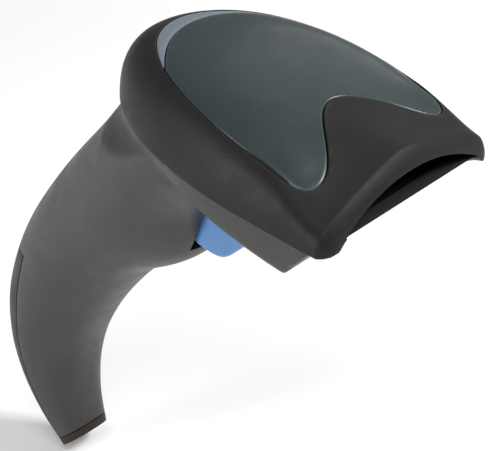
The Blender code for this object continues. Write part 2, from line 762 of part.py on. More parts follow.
def wire(name, path, radius, mat, resolution=2):
    curve = bpy.data.curves.new(name, "CURVE")
    curve.dimensions = "3D"
    curve.bevel_depth = radius * MM
    curve.bevel_resolution = resolution
    curve.use_fill_caps = True
    spline = curve.splines.new("POLY")
    spline.points.add(len(path) - 1)
    for point, target in zip(spline.points, path):
        point.co = (*place(*target), 1.0)
    curve.materials.append(mat)
    obj = bpy.data.objects.new(name, curve)
    bpy.context.collection.objects.link(obj)
    return obj


def make_switch(mats):
    """The trigger's switch on its small upright board. Returns the plunger."""
    box("switch_board", (-7, 2.6, SWITCH_Z - 7), (7, 4.0, SWITCH_Z + 7), mats["circuit_green"])
    body = box("switch_body", (-3.2, 4.3, SWITCH_Z - 3.2), (3.2, 8.4, SWITCH_Z + 3.2), mats["chip"])
    cut(body, rod("plunger_bore", (0, 4.7, SWITCH_Z), (0, 9, SWITCH_Z), 1.6, None, 12))
    return rod("switch_plunger", (0, 6.6, SWITCH_Z), (0, 11.8, SWITCH_Z), 1.25, mats["white_plastic"], 12)


def end_frame():
    """Centre of the handle's flat end, the direction into the handle, and the direction along its depth."""
    back, front, _ = handle_section(1.0)
    inward = -end_normal()
    along = (front - back) / np.linalg.norm(front - back)
    return (back + front) / 2, inward, along


def socket_block(name, half_x, half_depth, start, stop, mat=None):
    """A block square to the handle's end, from start to stop millimetres inside it."""
    centre, inward, along = end_frame()
    rings = []
    for level in (start, stop):
        ring = []
        for sx, sd in ((-1, -1), (1, -1), (1, 1), (-1, 1)):
            point = centre + inward * level + along * (half_depth * sd)
            ring.append((half_x * sx, point[0], point[1]))
        rings.append(ring)
    return loft(name, rings, mat)


def make_socket(mats):
    socket = socket_block("interface_socket", 3.9, 2.9, END_CAP + GAP, 12.5, mats["chip"])
    cut(socket, socket_block("socket_mouth", 3.2, 2.4, -1.0, 10.5))
    centre, inward, along = end_frame()
    start = centre + inward * 4.0 - along * 2.0
    stop = centre + inward * 10.1 - along * 2.0
    for i in range(4):
        x = 1.4 * (i - 1.5)
        rod(f"socket_contact_{i + 1}", (x, *start), (x, *stop), 0.25, mats["gold"], 6)


def smooth_path(points, steps):
    """A Catmull-Rom curve through a few route points."""
    rows = [np.array(p, float) for p in points]
    rows = [2 * rows[0] - rows[1]] + rows + [2 * rows[-1] - rows[-2]]
    path = []
    for i in range(1, len(rows) - 2):
        p0, p1, p2, p3 = rows[i - 1 : i + 3]
        for f in np.arange(steps) / steps:
            path.append(tuple(catmull_rom(p0, p1, p2, p3, f)))
    return path + [tuple(rows[-2])]


def make_harness(mats):
    centre, inward, _ = end_frame()
    start = centre + inward * 14.0
    handle_route = ((0, -48.5, -131.0), (0, -50.5, -114.0), (1, -45.0, -92.0), (3, -34.0, -70.0))
    head_route = ((5, -21.0, -50.0), (6, -10.0, -34.0), (6, -5.5, -24.0), (6, -4.6, HARNESS_TOP_Z))
    route = ((0, *start), *handle_route, *head_route)
    wire("interface_harness", smooth_path(route, 5), 1.6, mats["cable"])


# ---------------------------------------------------------------- electronics in the head


def on_board(name, x, s, size, side, mat, bevel=0.0):
    """A component standing on the main board: side 1 is its upper face, side -1 its lower one."""
    width, length, height = size
    face = seam_z(s) + BOARD_Z + side * (BOARD_HALF + GAP * 0.4)
    low_z, high_z = sorted((face, face + side * height))
    low = (x - width / 2, s - length / 2, low_z)
    high = (x + width / 2, s + length / 2, high_z)
    tilt_with_seam(box(name, low, high, mat, bevel), s, face)


def make_main_board(mats):
    """The main board, tilted with the parting line, with its screws and its components."""
    right_half = [(21.0, 38.0), (21.0, 14.0), (14.0, 3.0), (8.0, -1.0)]
    outline = right_half + [(-x, s) for x, s in reversed(right_half)]
    s_mid = 18.0
    z_mid = seam_z(s_mid) + BOARD_Z
    board = prism("main_board", outline, z_mid - BOARD_HALF, z_mid + BOARD_HALF, 2, mats["circuit_green"])
    for i, (x, s) in enumerate(BOARD_SCREWS):
        cut(board, rod(f"board_hole_{i}", (x, s, -30), (x, s, 5), 1.5, None, 10))
    tilt_with_seam(board, s_mid, z_mid)
    for modifier in board.modifiers:
        modifier.object.matrix_world = board.matrix_world
    for i, (x, s) in enumerate(BOARD_SCREWS):
        screw_up(f"board_screw_{i + 1}", x, s, seam_z(s) + BOARD_Z - BOARD_HALF - GAP, 5.5, 2.2, mats)
    on_board("decoder_chip", 6.0, 22.0, (13, 13, 1.4), 1, mats["chip"], 0.2)
    on_board("memory_chip", -9.0, 24.0, (8, 12, 1.1), 1, mats["chip"], 0.2)
    on_board("engine_connector", 0.0, FLEX_END_S, (14, 4, 1.6), 1, mats["white_plastic"], 0.2)
    on_board("harness_connector", 6.0, 2.4, (8, 5, 2.2), -1, mats["white_plastic"], 0.2)
    on_board("indicator_led", 0.0, INDICATOR_S, (3.2, 3.2, 1.2), 1, mats["led"], 0.2)


def screw_up(name, x, s, seat, length, head, mats):
    """A pan-head screw standing upright, with its head at the bottom, under a seat."""
    rings = []
    for level, radius in ((-1.5, head * 0.7), (-1.1, head), (0.0, head), (0.01, 0.9), (length, 0.7)):
        rings.append([(x + a, s + b, seat + level) for a, b in circle(radius, 10)])
    loft(name, rings, mats["steel"])


def make_beeper(mats):
    s = 14.0
    top = seam_z(s) + BOARD_Z - BOARD_HALF - 2 * GAP
    beeper = rod("beeper", (-9, s, top - 4.5), (-9, s, top), 5.2, mats["chip"], 20)
    cut(beeper, rod("beeper_hole", (-9, s, top - 6), (-9, s, top - 3), 1.0, None, 10))


def make_light_pipe(mats):
    s = INDICATOR_S
    low = seam_z(s) + BOARD_Z + 2.6
    high = top_z(0, s) - PANEL_THICKNESS - 2 * GAP
    rod("light_pipe", (0, s, low), (0, s, high), 1.4, mats["glass"], 12)


def make_engine_chassis(mats):
    """The engine's moulded body, with its ears, lens bore and lamp pockets."""
    middle = (ENGINE_FLOOR + ENGINE_TOP) / 2
    s = ENGINE_SCREW_S
    chassis = box("engine_chassis", (-13, 46, ENGINE_FLOOR), (13, 58, ENGINE_TOP), mats["chip"])
    for side in (-1, 1):
        low, high = sorted((side * 12, side * 19))
        x = side * ENGINE_SCREW_X
        lamp_x = side * LAMP_X
        ear_top = ENGINE_FLOOR + EAR_THICKNESS
        join(chassis, box(f"ear_{side}", (low, s - 3, ENGINE_FLOOR), (high, s + 3, ear_top)))
        cut(chassis, rod(f"ear_hole_{side}", (x, s, -30), (x, s, -15), 1.5, None, 10))
        cut(chassis, rod(f"lamp_pocket_{side}", (lamp_x, 51, middle), (lamp_x, 60, middle), 3.0, None, 14))
    cut(chassis, rod("lens_bore", (0, 44, LENS_Z), (0, 60, LENS_Z), 4.7, None, 18))
    add_bevel(chassis, 0.3)


def make_engine_optics(mats):
    """Board, sensor and lens barrel on the middle line, and a lamp with its lens on each side."""
    box("engine_board", (-13, 43.2, ENGINE_FLOOR), (13, 44.6, ENGINE_TOP), mats["circuit_green"])
    box("image_sensor", (-3, 44.9, LENS_Z - 2.5), (3, 45.8, LENS_Z + 2.5), mats["glass"])
    barrel = rod("lens_barrel", (0, 47, LENS_Z), (0, 59, LENS_Z), 4.3, mats["inner_black"], 20)
    cut(barrel, rod("barrel_bore", (0, 46, LENS_Z), (0, 60, LENS_Z), 3.2, None, 16))
    lens_disc("imager_lens", 0, LENS_Z, 56.0, 2.85, mats)
    middle = (ENGINE_FLOOR + ENGINE_TOP) / 2
    for side, kind in ((-1, "illumination"), (1, "aimer")):
        x = side * LAMP_X
        box(f"{kind}_led", (x - 1.4, 51.4, middle - 1.4), (x + 1.4, 52.6, middle + 1.4), mats["led"])
        lens_disc(f"{kind}_lens", x, middle, 55.4, 2.65, mats)


def make_engine_mounts(mats):
    s = ENGINE_SCREW_S
    low, high = ENGINE_FLOOR - 1.2, ENGINE_FLOOR - GAP
    for i, x in enumerate((-ENGINE_SCREW_X, ENGINE_SCREW_X), start=1):
        mount = rod(f"engine_mount_{i}", (x, s, low), (x, s, high), 2.6, mats["rubber"], 14)
        cut(mount, rod(f"engine_mount_hole_{i}", (x, s, -30), (x, s, -15), 1.4, None, 12))
        screw_down(f"engine_screw_{i}", x, s, ENGINE_FLOOR + EAR_THICKNESS + GAP, 7.0, mats)


def lens_disc(name, x, z, s, radius, mats):
    """A plano-convex lens facing the nose."""
    rings = []
    for forward, r in ((0.0, radius), (0.6, radius), (1.1, radius * 0.75), (1.4, radius * 0.3)):
        rings.append([(x + a, s + forward, z + b) for a, b in circle(r, 16)])
    loft(name, rings, mats["glass"])


def screw_down(name, x, s, seat, length, mats):
    """A pan-head screw standing upright, with its head at the top, on a seat."""
    rings = []
    for level, radius in ((-length, 0.7), (-0.01, 0.85), (0.0, 2.1), (1.0, 2.1), (1.4, 1.5)):
        rings.append([(x + a, s + b, seat + level) for a, b in circle(radius, 10)])
    loft(name, rings, mats["steel"])


def make_flex(mats):
    """Flat cable from the engine board's back, over in an arch, to the main board's connector."""
    plug_z = seam_z(FLEX_END_S) + BOARD_Z + BOARD_HALF + 1.0
    route = ((42.7, -18.0), (42.3, -15.0), (41.6, -12.7), (40.3, -11.7), (38.7, -12.1), (37.4, plug_z))
    upper = []
    lower = []
    for i, point in enumerate(route):
        before, after = route[max(i - 1, 0)], route[min(i + 1, len(route) - 1)]
        along = (Vector(after) - Vector(before)).normalized()
        across = Vector((-along.y, along.x)) * FLEX_THICKNESS / 2
        upper.append(tuple(Vector(point) + across))
        lower.append(tuple(Vector(point) - across))
    prism("engine_flex", upper + lower[::-1], -5.0, 5.0, 0, mats["flex"])


def make_housing_screws(mats):
    for i, (x, s) in enumerate(HOUSING_SCREWS):
        screw_up(f"housing_screw_{i + 1}", x, s, seam_z(s) - COUNTERBORE_DEPTH - GAP, 11.0, 2.1, mats)


# ---------------------------------------------------------------- assembly


def set_origin(obj, x, s, z):
    """Moves an object's origin onto its joint's axis, with its shape staying where it is."""
    target = place(x, s, z)
    obj.data.transform(Matrix.Translation(-target))
    obj.location = target


def main():
    for obj in list(bpy.data.objects):
        bpy.data.objects.remove(obj)
    mats = make_materials()
    make_top_cover(mats)
    make_lower_housing(mats)
    make_rear_cover(mats)
    make_panel(mats)
    make_indicator_lens(mats)
    make_nose(mats)
    trigger = make_trigger(mats)
    set_origin(trigger, 0, *PIVOT)
    make_pin_and_spring(mats)
    plunger = make_switch(mats)
    set_origin(plunger, 0, 8.4, SWITCH_Z)
    make_socket(mats)
    make_harness(mats)
    make_main_board(mats)
    make_beeper(mats)
    make_light_pipe(mats)
    make_engine_chassis(mats)
    make_engine_optics(mats)
    make_engine_mounts(mats)
    make_flex(mats)
    make_housing_screws(mats)


main()
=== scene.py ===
"""Looks of the handheld barcode scanner: fine skins, materials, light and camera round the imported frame.

Shapes are given in design coordinates in millimetres, with the same formulas as the CAD: x across, s forward
from the back end of the inlaid panel, z up from the panel's edge. The trigger's pin ties them to the frame.
"""

import json
import math

import bmesh
import bpy
import numpy as np
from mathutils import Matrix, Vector


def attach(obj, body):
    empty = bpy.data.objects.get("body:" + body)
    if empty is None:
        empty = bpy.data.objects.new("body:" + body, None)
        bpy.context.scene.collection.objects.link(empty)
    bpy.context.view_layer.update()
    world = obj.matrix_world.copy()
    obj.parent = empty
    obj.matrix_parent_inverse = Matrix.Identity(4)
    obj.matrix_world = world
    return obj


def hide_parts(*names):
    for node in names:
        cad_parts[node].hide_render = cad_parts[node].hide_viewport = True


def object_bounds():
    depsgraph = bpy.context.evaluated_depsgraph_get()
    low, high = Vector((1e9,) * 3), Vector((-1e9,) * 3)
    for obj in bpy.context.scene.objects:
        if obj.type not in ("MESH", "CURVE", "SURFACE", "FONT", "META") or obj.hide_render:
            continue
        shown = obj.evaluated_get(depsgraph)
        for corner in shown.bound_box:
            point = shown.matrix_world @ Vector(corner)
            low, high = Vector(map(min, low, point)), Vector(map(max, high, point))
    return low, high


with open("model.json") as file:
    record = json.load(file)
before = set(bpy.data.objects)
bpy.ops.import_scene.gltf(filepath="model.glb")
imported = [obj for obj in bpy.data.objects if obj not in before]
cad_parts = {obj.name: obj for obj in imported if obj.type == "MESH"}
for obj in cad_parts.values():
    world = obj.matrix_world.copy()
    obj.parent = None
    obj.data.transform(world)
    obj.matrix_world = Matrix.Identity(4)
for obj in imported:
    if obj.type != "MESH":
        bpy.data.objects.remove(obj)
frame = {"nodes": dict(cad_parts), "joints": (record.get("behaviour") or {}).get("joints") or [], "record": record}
CAD_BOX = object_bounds()

MM = 0.001
GAP = 0.3
WALL = 2.2
ROOF = 3.6
NOSE_ROOF = 2.0

# Head
WAIST_S = 50.0
HEAD_HALF_WIDTH = 33.4
HEAD_REAR_LENGTH = 63.0
PANEL_HALF_WIDTH = 29.1
PANEL_REAR_LENGTH = 50.0
NOSE_CREASE_S = 74.0
NOSE_CREASE_SWEEP = 1.2
LIP_S = 77.0
LIP_SWEEP = 1.0
LIP_INSET = 2.5
LIP_FLOOR_Z = -20.6
CORNER_ROUND = 1.2
LIP_BULGE = 1.0
LIP_OVERLAP = 0.6
LIP_FILLET = 0.55  # how far the rounding of the lip's outer crease reaches back
LIP_FILLET_FACE = 0.28  # and the share of the half face in front of it
TOP_UNIT = 50.0
TOP_FALL = 15.1
TOP_CURVE_REAR = 8.4
TOP_CURVE_NOSE = 4.0
CROWN_FALL = 0.7
CROWN_REACH = 29.0
NOSE_CROWN_SLOPE = 0.28
NOSE_CROWN_ROUND = 6.0
NOSE_START_S = 52.0
NOSE_END_S = 76.0
SEAM_START_Z = -14.3
SEAM_SLOPE = 0.108
SHOULDER_POWER = 8.0
SHOULDER_ROUND = 2.2
NOSE_POWER = 15.0
NOSE_ROUND = 3.4
ARCH_TOP_Z = -11.3
SILL_Z = -18.3
SILL_S = 77.0
ARCH_HALF_WIDTH = 26.0
SILL_THICKNESS = 0.15
SILL_CHAMFER = 3.8  # how far back the chamfer under the lip reaches
SEAM_FRONT_Z = -21.8
SILL_END_X = 24.5  # beyond it the lip's underside sinks into a rounded cheek
CHEEK_OUTER_X = 33.5
CHEEK_SINK = 4.6

# Tub under the head
TUB_DEPTH_FRONT = 11.7
TUB_DEPTH_REAR = 4.1
TUB_SEAM_FRONT_S = 71.5
TUB_CHIN_S = 61.8
TUB_STEP = 0.5
TUB_DEEPENS_FROM_S = 5.0
TUB_DEEPENS_TO_S = 68.0
TUB_PROFILE = ((0.0, 0.0), (0.35, 0.2), (0.8, 0.9), (0.93, 1.9), (1.0, 3.6))

# Handle: back and front points of each cross-section in the symmetry plane, and its half thickness.
HANDLE_SECTIONS = (
    ((-6.0, -11.0), (36.0, -26.0), 27.5),
    ((-15.6, -23.4), (19.3, -41.0), 24.6),
    ((-36.6, -47.6), (10.8, -60.0), 20.8),
    ((-53.6, -72.0), (-8.0, -73.0), 17.0),
    ((-63.0, -95.0), (-23.4, -90.2), 15.0),
    ((-63.9, -112.0), (-34.2, -107.4), 14.0),
    ((-60.8, -127.0), (-38.6, -121.2), 12.0),
    ((-54.6, -140.0), (-38.8, -133.7), 9.8),
    ((-46.2, -151.5), (-36.4, -143.2), 7.6),
)
HANDLE_POWER = 2.3
HANDLE_WALL = 1.9
END_CAP = 1.7
CAP_RIM = 2.3
REAR_SEAM_TOP = -0.60  # where its seam starts, as a share of the half depth
REAR_SEAM_END = -0.36  # and where it meets the end cap
REAR_SEAM_BOW = 0.20  # how much further forward the seam runs half way down
REAR_COVER_START = 0.42
REAR_CLEARANCE_DEPTH = 15.0
REAR_CLEARANCE_LENGTH = 170.0
HANDLE_TUCK = 0.4

# Trigger
PIVOT = (26.0, -25.6)
PIVOT_RADIUS = 1.2
TRIGGER_HALF_WIDTH = 8.0
SLOT_HALF_WIDTH = 8.7
LUG_INNER_X = 9.3
LUG_OUTER_X = 12.3

# Inlay
PANEL_THICKNESS = 1.0
RECESS_DEPTH = 2.1
TONGUE_S = 59.4
TONGUE_SWING = 7.8
TONGUE_HALF = 23.6
TIP_WIDTH = 5.5
TIP_LENGTH = 5.7
CRESCENT_HALF = 20.6
CRESCENT_FRONT_S = 5.0
CRESCENT_CURVE = 0.0242
BASE_SHARE = 0.8
BASE_CENTRE_S = 40.0
LENS_GAP = 0.1
PANEL_SINK = 0.3  # how far the inlay and the lens lie below the band round them
EDGE_ROUND = 0.4  # rounding of the panel's rim and of the recess round it

# Screw places inside, as in the frame
BOARD_Z = 3.0
BOARD_HALF = 0.8
BOARD_SCREWS = ((-17.0, 8.0), (17.0, 8.0), (-19.0, 35.0), (19.0, 35.0))
INDICATOR_S = 3.4
HOUSING_SCREWS = ((-24.5, 57.0), (24.5, 57.0))
HOUSING_POST_LIFT = 0.2
COUNTERBORE_DEPTH = 7.0
ENGINE_FLOOR = -21.0
ENGINE_SCREW_X = 16.0
ENGINE_SCREW_S = 50.0

# Sizes of the inner supports and of the nose's inner pieces
POST_SIZE = (2.7, 1.2, 6.5)  # radius, and the pilot hole's radius and depth
ENGINE_POST_SIZE = (2.8, 1.2, -5.0)  # as above, with the pilot hole going down from the top
ENGINE_POST_TOP_Z = ENGINE_FLOOR - 1.5
ENGINE_POST_LOW_Z = -29.2
SEAT_RADIUS = 3.4
SEAT_DEPTH = 10.4
SCREW_BORE_RADIUS = 1.5
COUNTERBORE_RADIUS = 2.5
SCREW_BORE_Z = (-45.0, -10.0)
LIGHT_PIPE_HOLE_RADIUS = 1.8
SUPPORT_HALF_WIDTH = 40.0  # cut back to the inside of the handle
SUPPORT_INSET = 0.8
BRIDGE_S = (22.0, 30.0)
BRIDGE_Z = (-23.0, -21.0)
RIB_S = (0.4, 2.2)
RIB_Z = (-51.0, -36.0)
LUG_REACH = 3.0
LUG_TOP_Z = -21.5
PIN_BORE_X = 14.0
TRIGGER_SLOT = ((9.0, -56.2), (20.0, -56.6), (37.0, -44.0), (34.9, -27.0), (12.0, -27.0))
BEZEL_S = (66.0, 72.6)
FUNNEL_STEPS = ((65.0, -2.4), (66.0, -2.2), (72.6, 0.0), (74.0, 0.2))  # s and growth of the arch
GASKET_S = (64.6, 65.7)
WINDOW_S = (62.8, 64.3)
SOCKET_HALVES = (3.4, 2.6)  # half sizes across and along the end face
SOCKET_REACH = (-2.0, 6.0)  # from outside the end face to inside the handle

# Trigger's outline in s and z, and its edges
FINGER_FACE = ((34.0, -32.0), (33.9, -37.0), (32.8, -42.0), (30.2, -47.0), (26.6, -51.4), (23.6, -54.0))
TRIGGER_FOOT = ((21.0, -54.9), (17.0, -54.6), (12.6, -53.2), (11.9, -50.0))
TRIGGER_BACK = ((12.3, -38.0), (20.0, -31.0), (22.6, -26.6))
TRIGGER_HUB = ((23.6, -23.9), (26.0, -23.4), (28.6, -24.2))
TRIGGER_EDGE = 0.9
HUB_RELIEF_X = (5.2, 9.5)
HUB_RELIEF_S = (18.0, 38.0)
HUB_RELIEF_Z = (-31.0, -20.0)
TRIGGER_BORE_X = 10.0

# Cover's cavity, recess and window
CORNER_BACK = 1.3
CAVITY_FRONT_S = 73.0
CAVITY_BELOW_SEAM = 5.0
CAVITY_SHOULDER = 1.6
RECESS_CUT_ABOVE = 3.0
RECESS_FLARE = 1.3
WINDOW_STEPS = ((60.0, 0.0), (75.6, 0.0), (78.0, 0.55), (90.0, 0.55))  # s and growth of the arch
CHAMFER_FRONT_S = 90.0
CHAMFER_LOW_Z = -30.0
DRAPE_CENTRE = (0.0, 30.0)
DRAPE_SHARES = (0.01, 0.05, 0.1, 0.17, 0.25, 0.33, 0.42, 0.51, 0.6, 0.69, 0.77, 0.84, 0.9, 0.95, 0.98)

# Cutters that run past the surface they cut, as shares of the half depth or thickness, or in millimetres
BEYOND_BACK = -1.6
BEYOND_SIDE = 1.4
BEYOND_END = 2.0
BELOW_END = 4.0
SQUARE = ((-1, -1), (1, -1), (1, 1), (-1, 1))  # corners of a square, in order
CAVITY_RISE = (-2.0, 3.0)  # how far the handle's cavity runs on into the head
SEAM_TRIM_S = (-60.0, 110.0)
SEAM_TRIM_TOP_Z = 40.0
SEAM_TRIM_HALF_WIDTH = 60.0

# Fineness of the skins
HEAD_POINTS = 110
HEAD_ANGLES = 34
HANDLE_POINTS = 96
HANDLE_RINGS = 70
HOUSING_VOXEL = 0.9
FILLET_PASSES = 60
SMOOTH_PASSES = 14
SMOOTH_SHRINK = 0.5  # share of the way to the neighbours' middle, in each smoothing pass
SMOOTH_SWELL = 0.52  # and the share back out again, which keeps the volume
HOLLOW_START = 0.05  # inward curving at which the fillet starts
HOLLOW_GAIN = 12.0
HOLLOW_GROWTH = 5
HOLLOW_BLUR = 4

# Edge wear and painted highlight: outward curving, per millimetre, at which the lightening of edges starts and at
# which it is full
EDGE_ATTRIBUTE = "edge_wear_and_highlight"
EDGE_FLAT = 0.08
EDGE_SHARP = 0.35

# Camera, light and floor
CAMERA_TARGET = (-34.87, 53.71, -20.0)
CAMERA_AZIMUTH = -49.254
CAMERA_ELEVATION = 31.0
CAMERA_DISTANCE = 480.0
CAMERA_LENS = 148.3
SENSOR_WIDTH = 36.0

WHITE = (1.0, 1.0, 1.0)
WARM_WHITE = (1.0, 0.97, 0.94)
WORLD_STRENGTH = 0.28
FLOOR_REACH = 6.0
FLOOR_DROP = 0.0005
FLOOR_GLOW = 0.12  # a lit table under the object
PAPER_TONES = (0.86, 0.90)
PAPER_ROUGHNESS = 0.9
# Name, azimuth, elevation, distance, disk size, power and colour, each aimed at the object's middle
LIGHTS = (
    ("overhead", -50.0, 55.0, 0.9, 0.5, 2.8, WHITE),
    ("near_low", -118.0, 3.0, 0.8, 0.20, 3.6, WARM_WHITE),
    ("far_side", 46.0, 44.0, 1.0, 0.3, 9.0, WHITE),
    ("far_back", 108.0, 32.0, 1.0, 0.5, 0.6, WHITE),
)

# Surface of every moulded piece: scales per metre, and tones as shares of the base colour
MOTTLE_SCALE = 60.0
MOTTLE_TONES = (0.93, 1.07)
GLOSS_SCALE = 140.0
GLOSS_SWING = 0.05
SPECKLE_SHARE = 0.6
SPECKLE_TONE = 1.22
BUMP_STRENGTH = 0.6

PIN = next(j["pos_m"] for j in frame["joints"] if j["name"] == "trigger_pull")


def place(x, s, z):
    """Point of the frame, in metres, for design coordinates, which start from the trigger's pin."""
    return Vector((x * MM + PIN[0], PIN[1] - (s - PIVOT[0]) * MM, PIN[2] + (z - PIVOT[1]) * MM))


# ---------------------------------------------------------------- surfaces shared with the CAD


def smooth_ramp(value, start, end):
    t = min(max((value - start) / (end - start), 0.0), 1.0)
    return t * t * (3 - 2 * t)


def catmull_rom(p0, p1, p2, p3, f):
    """A point at share f of the stretch from p1 to p2, on a smooth curve through all four."""
    linear = (p2 - p0) * f
    square = (2 * p0 - 5 * p1 + 4 * p2 - p3) * f**2
    cubic = (3 * p1 - p0 - 3 * p2 + p3) * f**3
    return 0.5 * (2 * p1 + linear + square + cubic)


def circle(radius, sides):
    """Points round a circle at the origin, as pairs."""
    angles = [2 * math.pi * i / sides for i in range(sides)]
    return [(radius * math.cos(a), radius * math.sin(a)) for a in angles]


def seam_z(s):
    return SEAM_START_Z - SEAM_SLOPE * s


def side_share(x, s):
    """0 on the head's middle line and 1 on its outline."""
    back = max(WAIST_S - s, 0.0) / HEAD_REAR_LENGTH
    return math.hypot(x / HEAD_HALF_WIDTH, back)


def top_z(x, s):
    """Height of the head's crowned top, which rolls down to the parting line at the outline."""
    q = (s - WAIST_S) / TOP_UNIT
    curve = -TOP_CURVE_REAR if q < 0 else TOP_CURVE_NOSE
    middle = -TOP_FALL * q + curve * q * q
    nose = smooth_ramp(s, NOSE_START_S, NOSE_END_S)
    nose_crown = NOSE_CROWN_SLOPE * (math.hypot(x, NOSE_CROWN_ROUND) - NOSE_CROWN_ROUND)
    crown = CROWN_FALL * (x / CROWN_REACH) ** 2 + nose * nose_crown
    share = min(side_share(x, s), 1.0)
    power = SHOULDER_POWER + (NOSE_POWER - SHOULDER_POWER) * nose
    roundness = SHOULDER_ROUND + (NOSE_ROUND - SHOULDER_ROUND) * nose
    roll = (1.0 - share**power) ** (1.0 / roundness)
    return seam_z(s) + (middle - crown - seam_z(s)) * roll


def arch_z(x):
    """Upper edge of the window recess."""
    return ARCH_TOP_Z - (ARCH_TOP_Z - SILL_Z) * (x / ARCH_HALF_WIDTH) ** 2


def nose_corner(share):
    """How far the nose's lower corner is drawn back: nothing but for the lines nearest the outline."""
    return CORNER_ROUND * share**40


def roof_z(x, s):
    """Underside of the top cover."""
    return top_z(x, s) - ROOF + (ROOF - NOSE_ROOF) * smooth_ramp(s, 61.0, 68.0)


def handle_section(t):
    """Back point, front point and half thickness at a share t of the way down, on a smooth curve."""
    last = len(HANDLE_SECTIONS) - 1
    table = np.array([(*back, *front, half) for back, front, half in HANDLE_SECTIONS])
    position = min(max(t, 0.0), 1.0) * last
    i = min(int(position), last - 1)
    p1, p2 = table[i], table[i + 1]
    p0 = table[i - 1] if i > 0 else 2 * p1 - p2
    p3 = table[i + 2] if i + 2 <= last else 2 * p2 - p1
    row = catmull_rom(p0, p1, p2, p3, position - i)
    return row[0:2], row[2:4], row[4]


def handle_point(t, depth, across):
    """A point of the handle: depth -1 at its back and 1 at its front, across as a share of half its width."""
    back, front, half = handle_section(t)
    middle = (back + front) / 2 + (front - back) / 2 * depth
    return (half * across, middle[0], middle[1])


def end_normal():
    """Direction in the s-z plane that the handle's flat end faces."""
    back, front, _ = handle_section(1.0)
    along = (front - back) / np.linalg.norm(front - back)
    return np.array((along[1], -along[0]))


def under_head(x, s, z, inset):
    """Draws a point of the handle in to the head's outline where it is close under the parting line."""
    depth = max(seam_z(s) - z, 0.0)
    tuck = (TUB_STEP + HANDLE_TUCK + inset) / HEAD_HALF_WIDTH
    allowed = 1.0 - tuck + 0.005 * depth + 0.0006 * depth**2
    shrink = min(allowed / side_share(x, s), 1.0)
    return (x * shrink, WAIST_S + (s - WAIST_S) * shrink, z)


def panel_rear_s(x):
    return WAIST_S - PANEL_REAR_LENGTH * math.sqrt(1 - (x / PANEL_HALF_WIDTH) ** 2)


def crescent_front_s(x):
    return CRESCENT_FRONT_S + CRESCENT_CURVE * x * x


def offset_outline(outline, distance):
    """Moves each point of an outline inwards, at a right angle to its neighbours' chord."""
    moved = []
    count = len(outline)
    for i in range(count):
        before, after = Vector(outline[i - 1]), Vector(outline[(i + 1) % count])
        along = (after - before).normalized()
        moved.append((outline[i][0] - along.y * distance, outline[i][1] + along.x * distance))
    return moved


def end_frame():
    """Centre of the handle's flat end, the direction into the handle, and the direction along its depth."""
    back, front, _ = handle_section(1.0)
    inward = -end_normal()
    along = (front - back) / np.linalg.norm(front - back)
    return (back + front) / 2, inward, along


# ---------------------------------------------------------------- mesh helpers


def make_object(name, points, faces, crease_degrees=40):
    mesh = bpy.data.meshes.new(name)
    mesh.from_pydata([place(*p) for p in points], [], faces)
    bm = bmesh.new()
    bm.from_mesh(mesh)
    bmesh.ops.recalc_face_normals(bm, faces=bm.faces)
    bm.to_mesh(mesh)
    bm.free()
    mesh.shade_smooth()
    mesh.set_sharp_from_angle(angle=math.radians(crease_degrees))
    obj = bpy.data.objects.new(name, mesh)
    bpy.context.collection.objects.link(obj)
    return obj


def loft(name, rings, ridge=False):
    """A closed solid through rings of equal length, ended by fans, or by a ridge along a last narrow ring."""
    count = len(rings[0])
    points = [p for ring in rings for p in ring]
    faces = []
    for j in range(len(rings) - 1):
        for i in range(count):
            k = (i + 1) % count
            faces.append((j * count + i, j * count + k, (j + 1) * count + k, (j + 1) * count + i))
    last = len(rings) - 1
    if ridge:
        for i in range((count - 1) // 2):
            corners = (i, i + 1, count - 2 - i, count - 1 - i)
            faces.append([last * count + c for c in dict.fromkeys(corners)])
    for j in (0,) if ridge else (0, last):
        centre = len(points)
        points.append(tuple(np.mean(rings[j], axis=0)))
        for i in range(count):
            faces.append((j * count + i, j * count + (i + 1) % count, centre))
    return make_object(name, points, faces)


def prism(name, outline, low, high, axis):
    """Extrudes an outline along one design axis. The outline's pairs fill the other two axes in order."""

    def at(pair, level):
        point = list(pair)
        point.insert(axis, level)
        return tuple(point)

    return loft(name, [[at(pair, low) for pair in outline], [at(pair, high) for pair in outline]])


def box(name, low, high):
    outline = ((low[0], low[1]), (high[0], low[1]), (high[0], high[1]), (low[0], high[1]))
    return prism(name, outline, low[2], high[2], 2)


def rod(name, start, end, radius, sides=32):
    start, end = Vector(start), Vector(end)
    along = (end - start).normalized()
    side = along.orthogonal().normalized()
    other = along.cross(side)
    rings = []
    for centre in (start, end):
        rings.append([tuple(centre + side * a + other * b) for a, b in circle(radius, sides)])
    return loft(name, rings)


def post(name, x, s, low, high, radius, pilot_radius, pilot_depth):
    rings = []
    for z, r in ((high, radius), (low, radius), (low, pilot_radius), (low + pilot_depth, pilot_radius)):
        rings.append([(x + a, s + b, z) for a, b in circle(r, 24)])
    return loft(name, rings)


def combine(target, helper, operation):
    """Joins, cuts or intersects target with helper, and removes the helper."""
    boolean = target.modifiers.new(operation.lower(), "BOOLEAN")
    boolean.operation = operation
    boolean.solver = "EXACT"
    boolean.object = helper
    apply_modifiers(target)
    bpy.data.objects.remove(helper)


def cut(target, *helpers):
    for helper in helpers:
        combine(target, helper, "DIFFERENCE")


def join(target, *helpers):
    for helper in helpers:
        combine(target, helper, "UNION")


def apply_modifiers(obj):
    """Replaces the object's mesh with its evaluated one."""
    graph = bpy.context.evaluated_depsgraph_get()
    mesh = bpy.data.meshes.new_from_object(obj.evaluated_get(graph))
    obj.modifiers.clear()
    obj.data = mesh


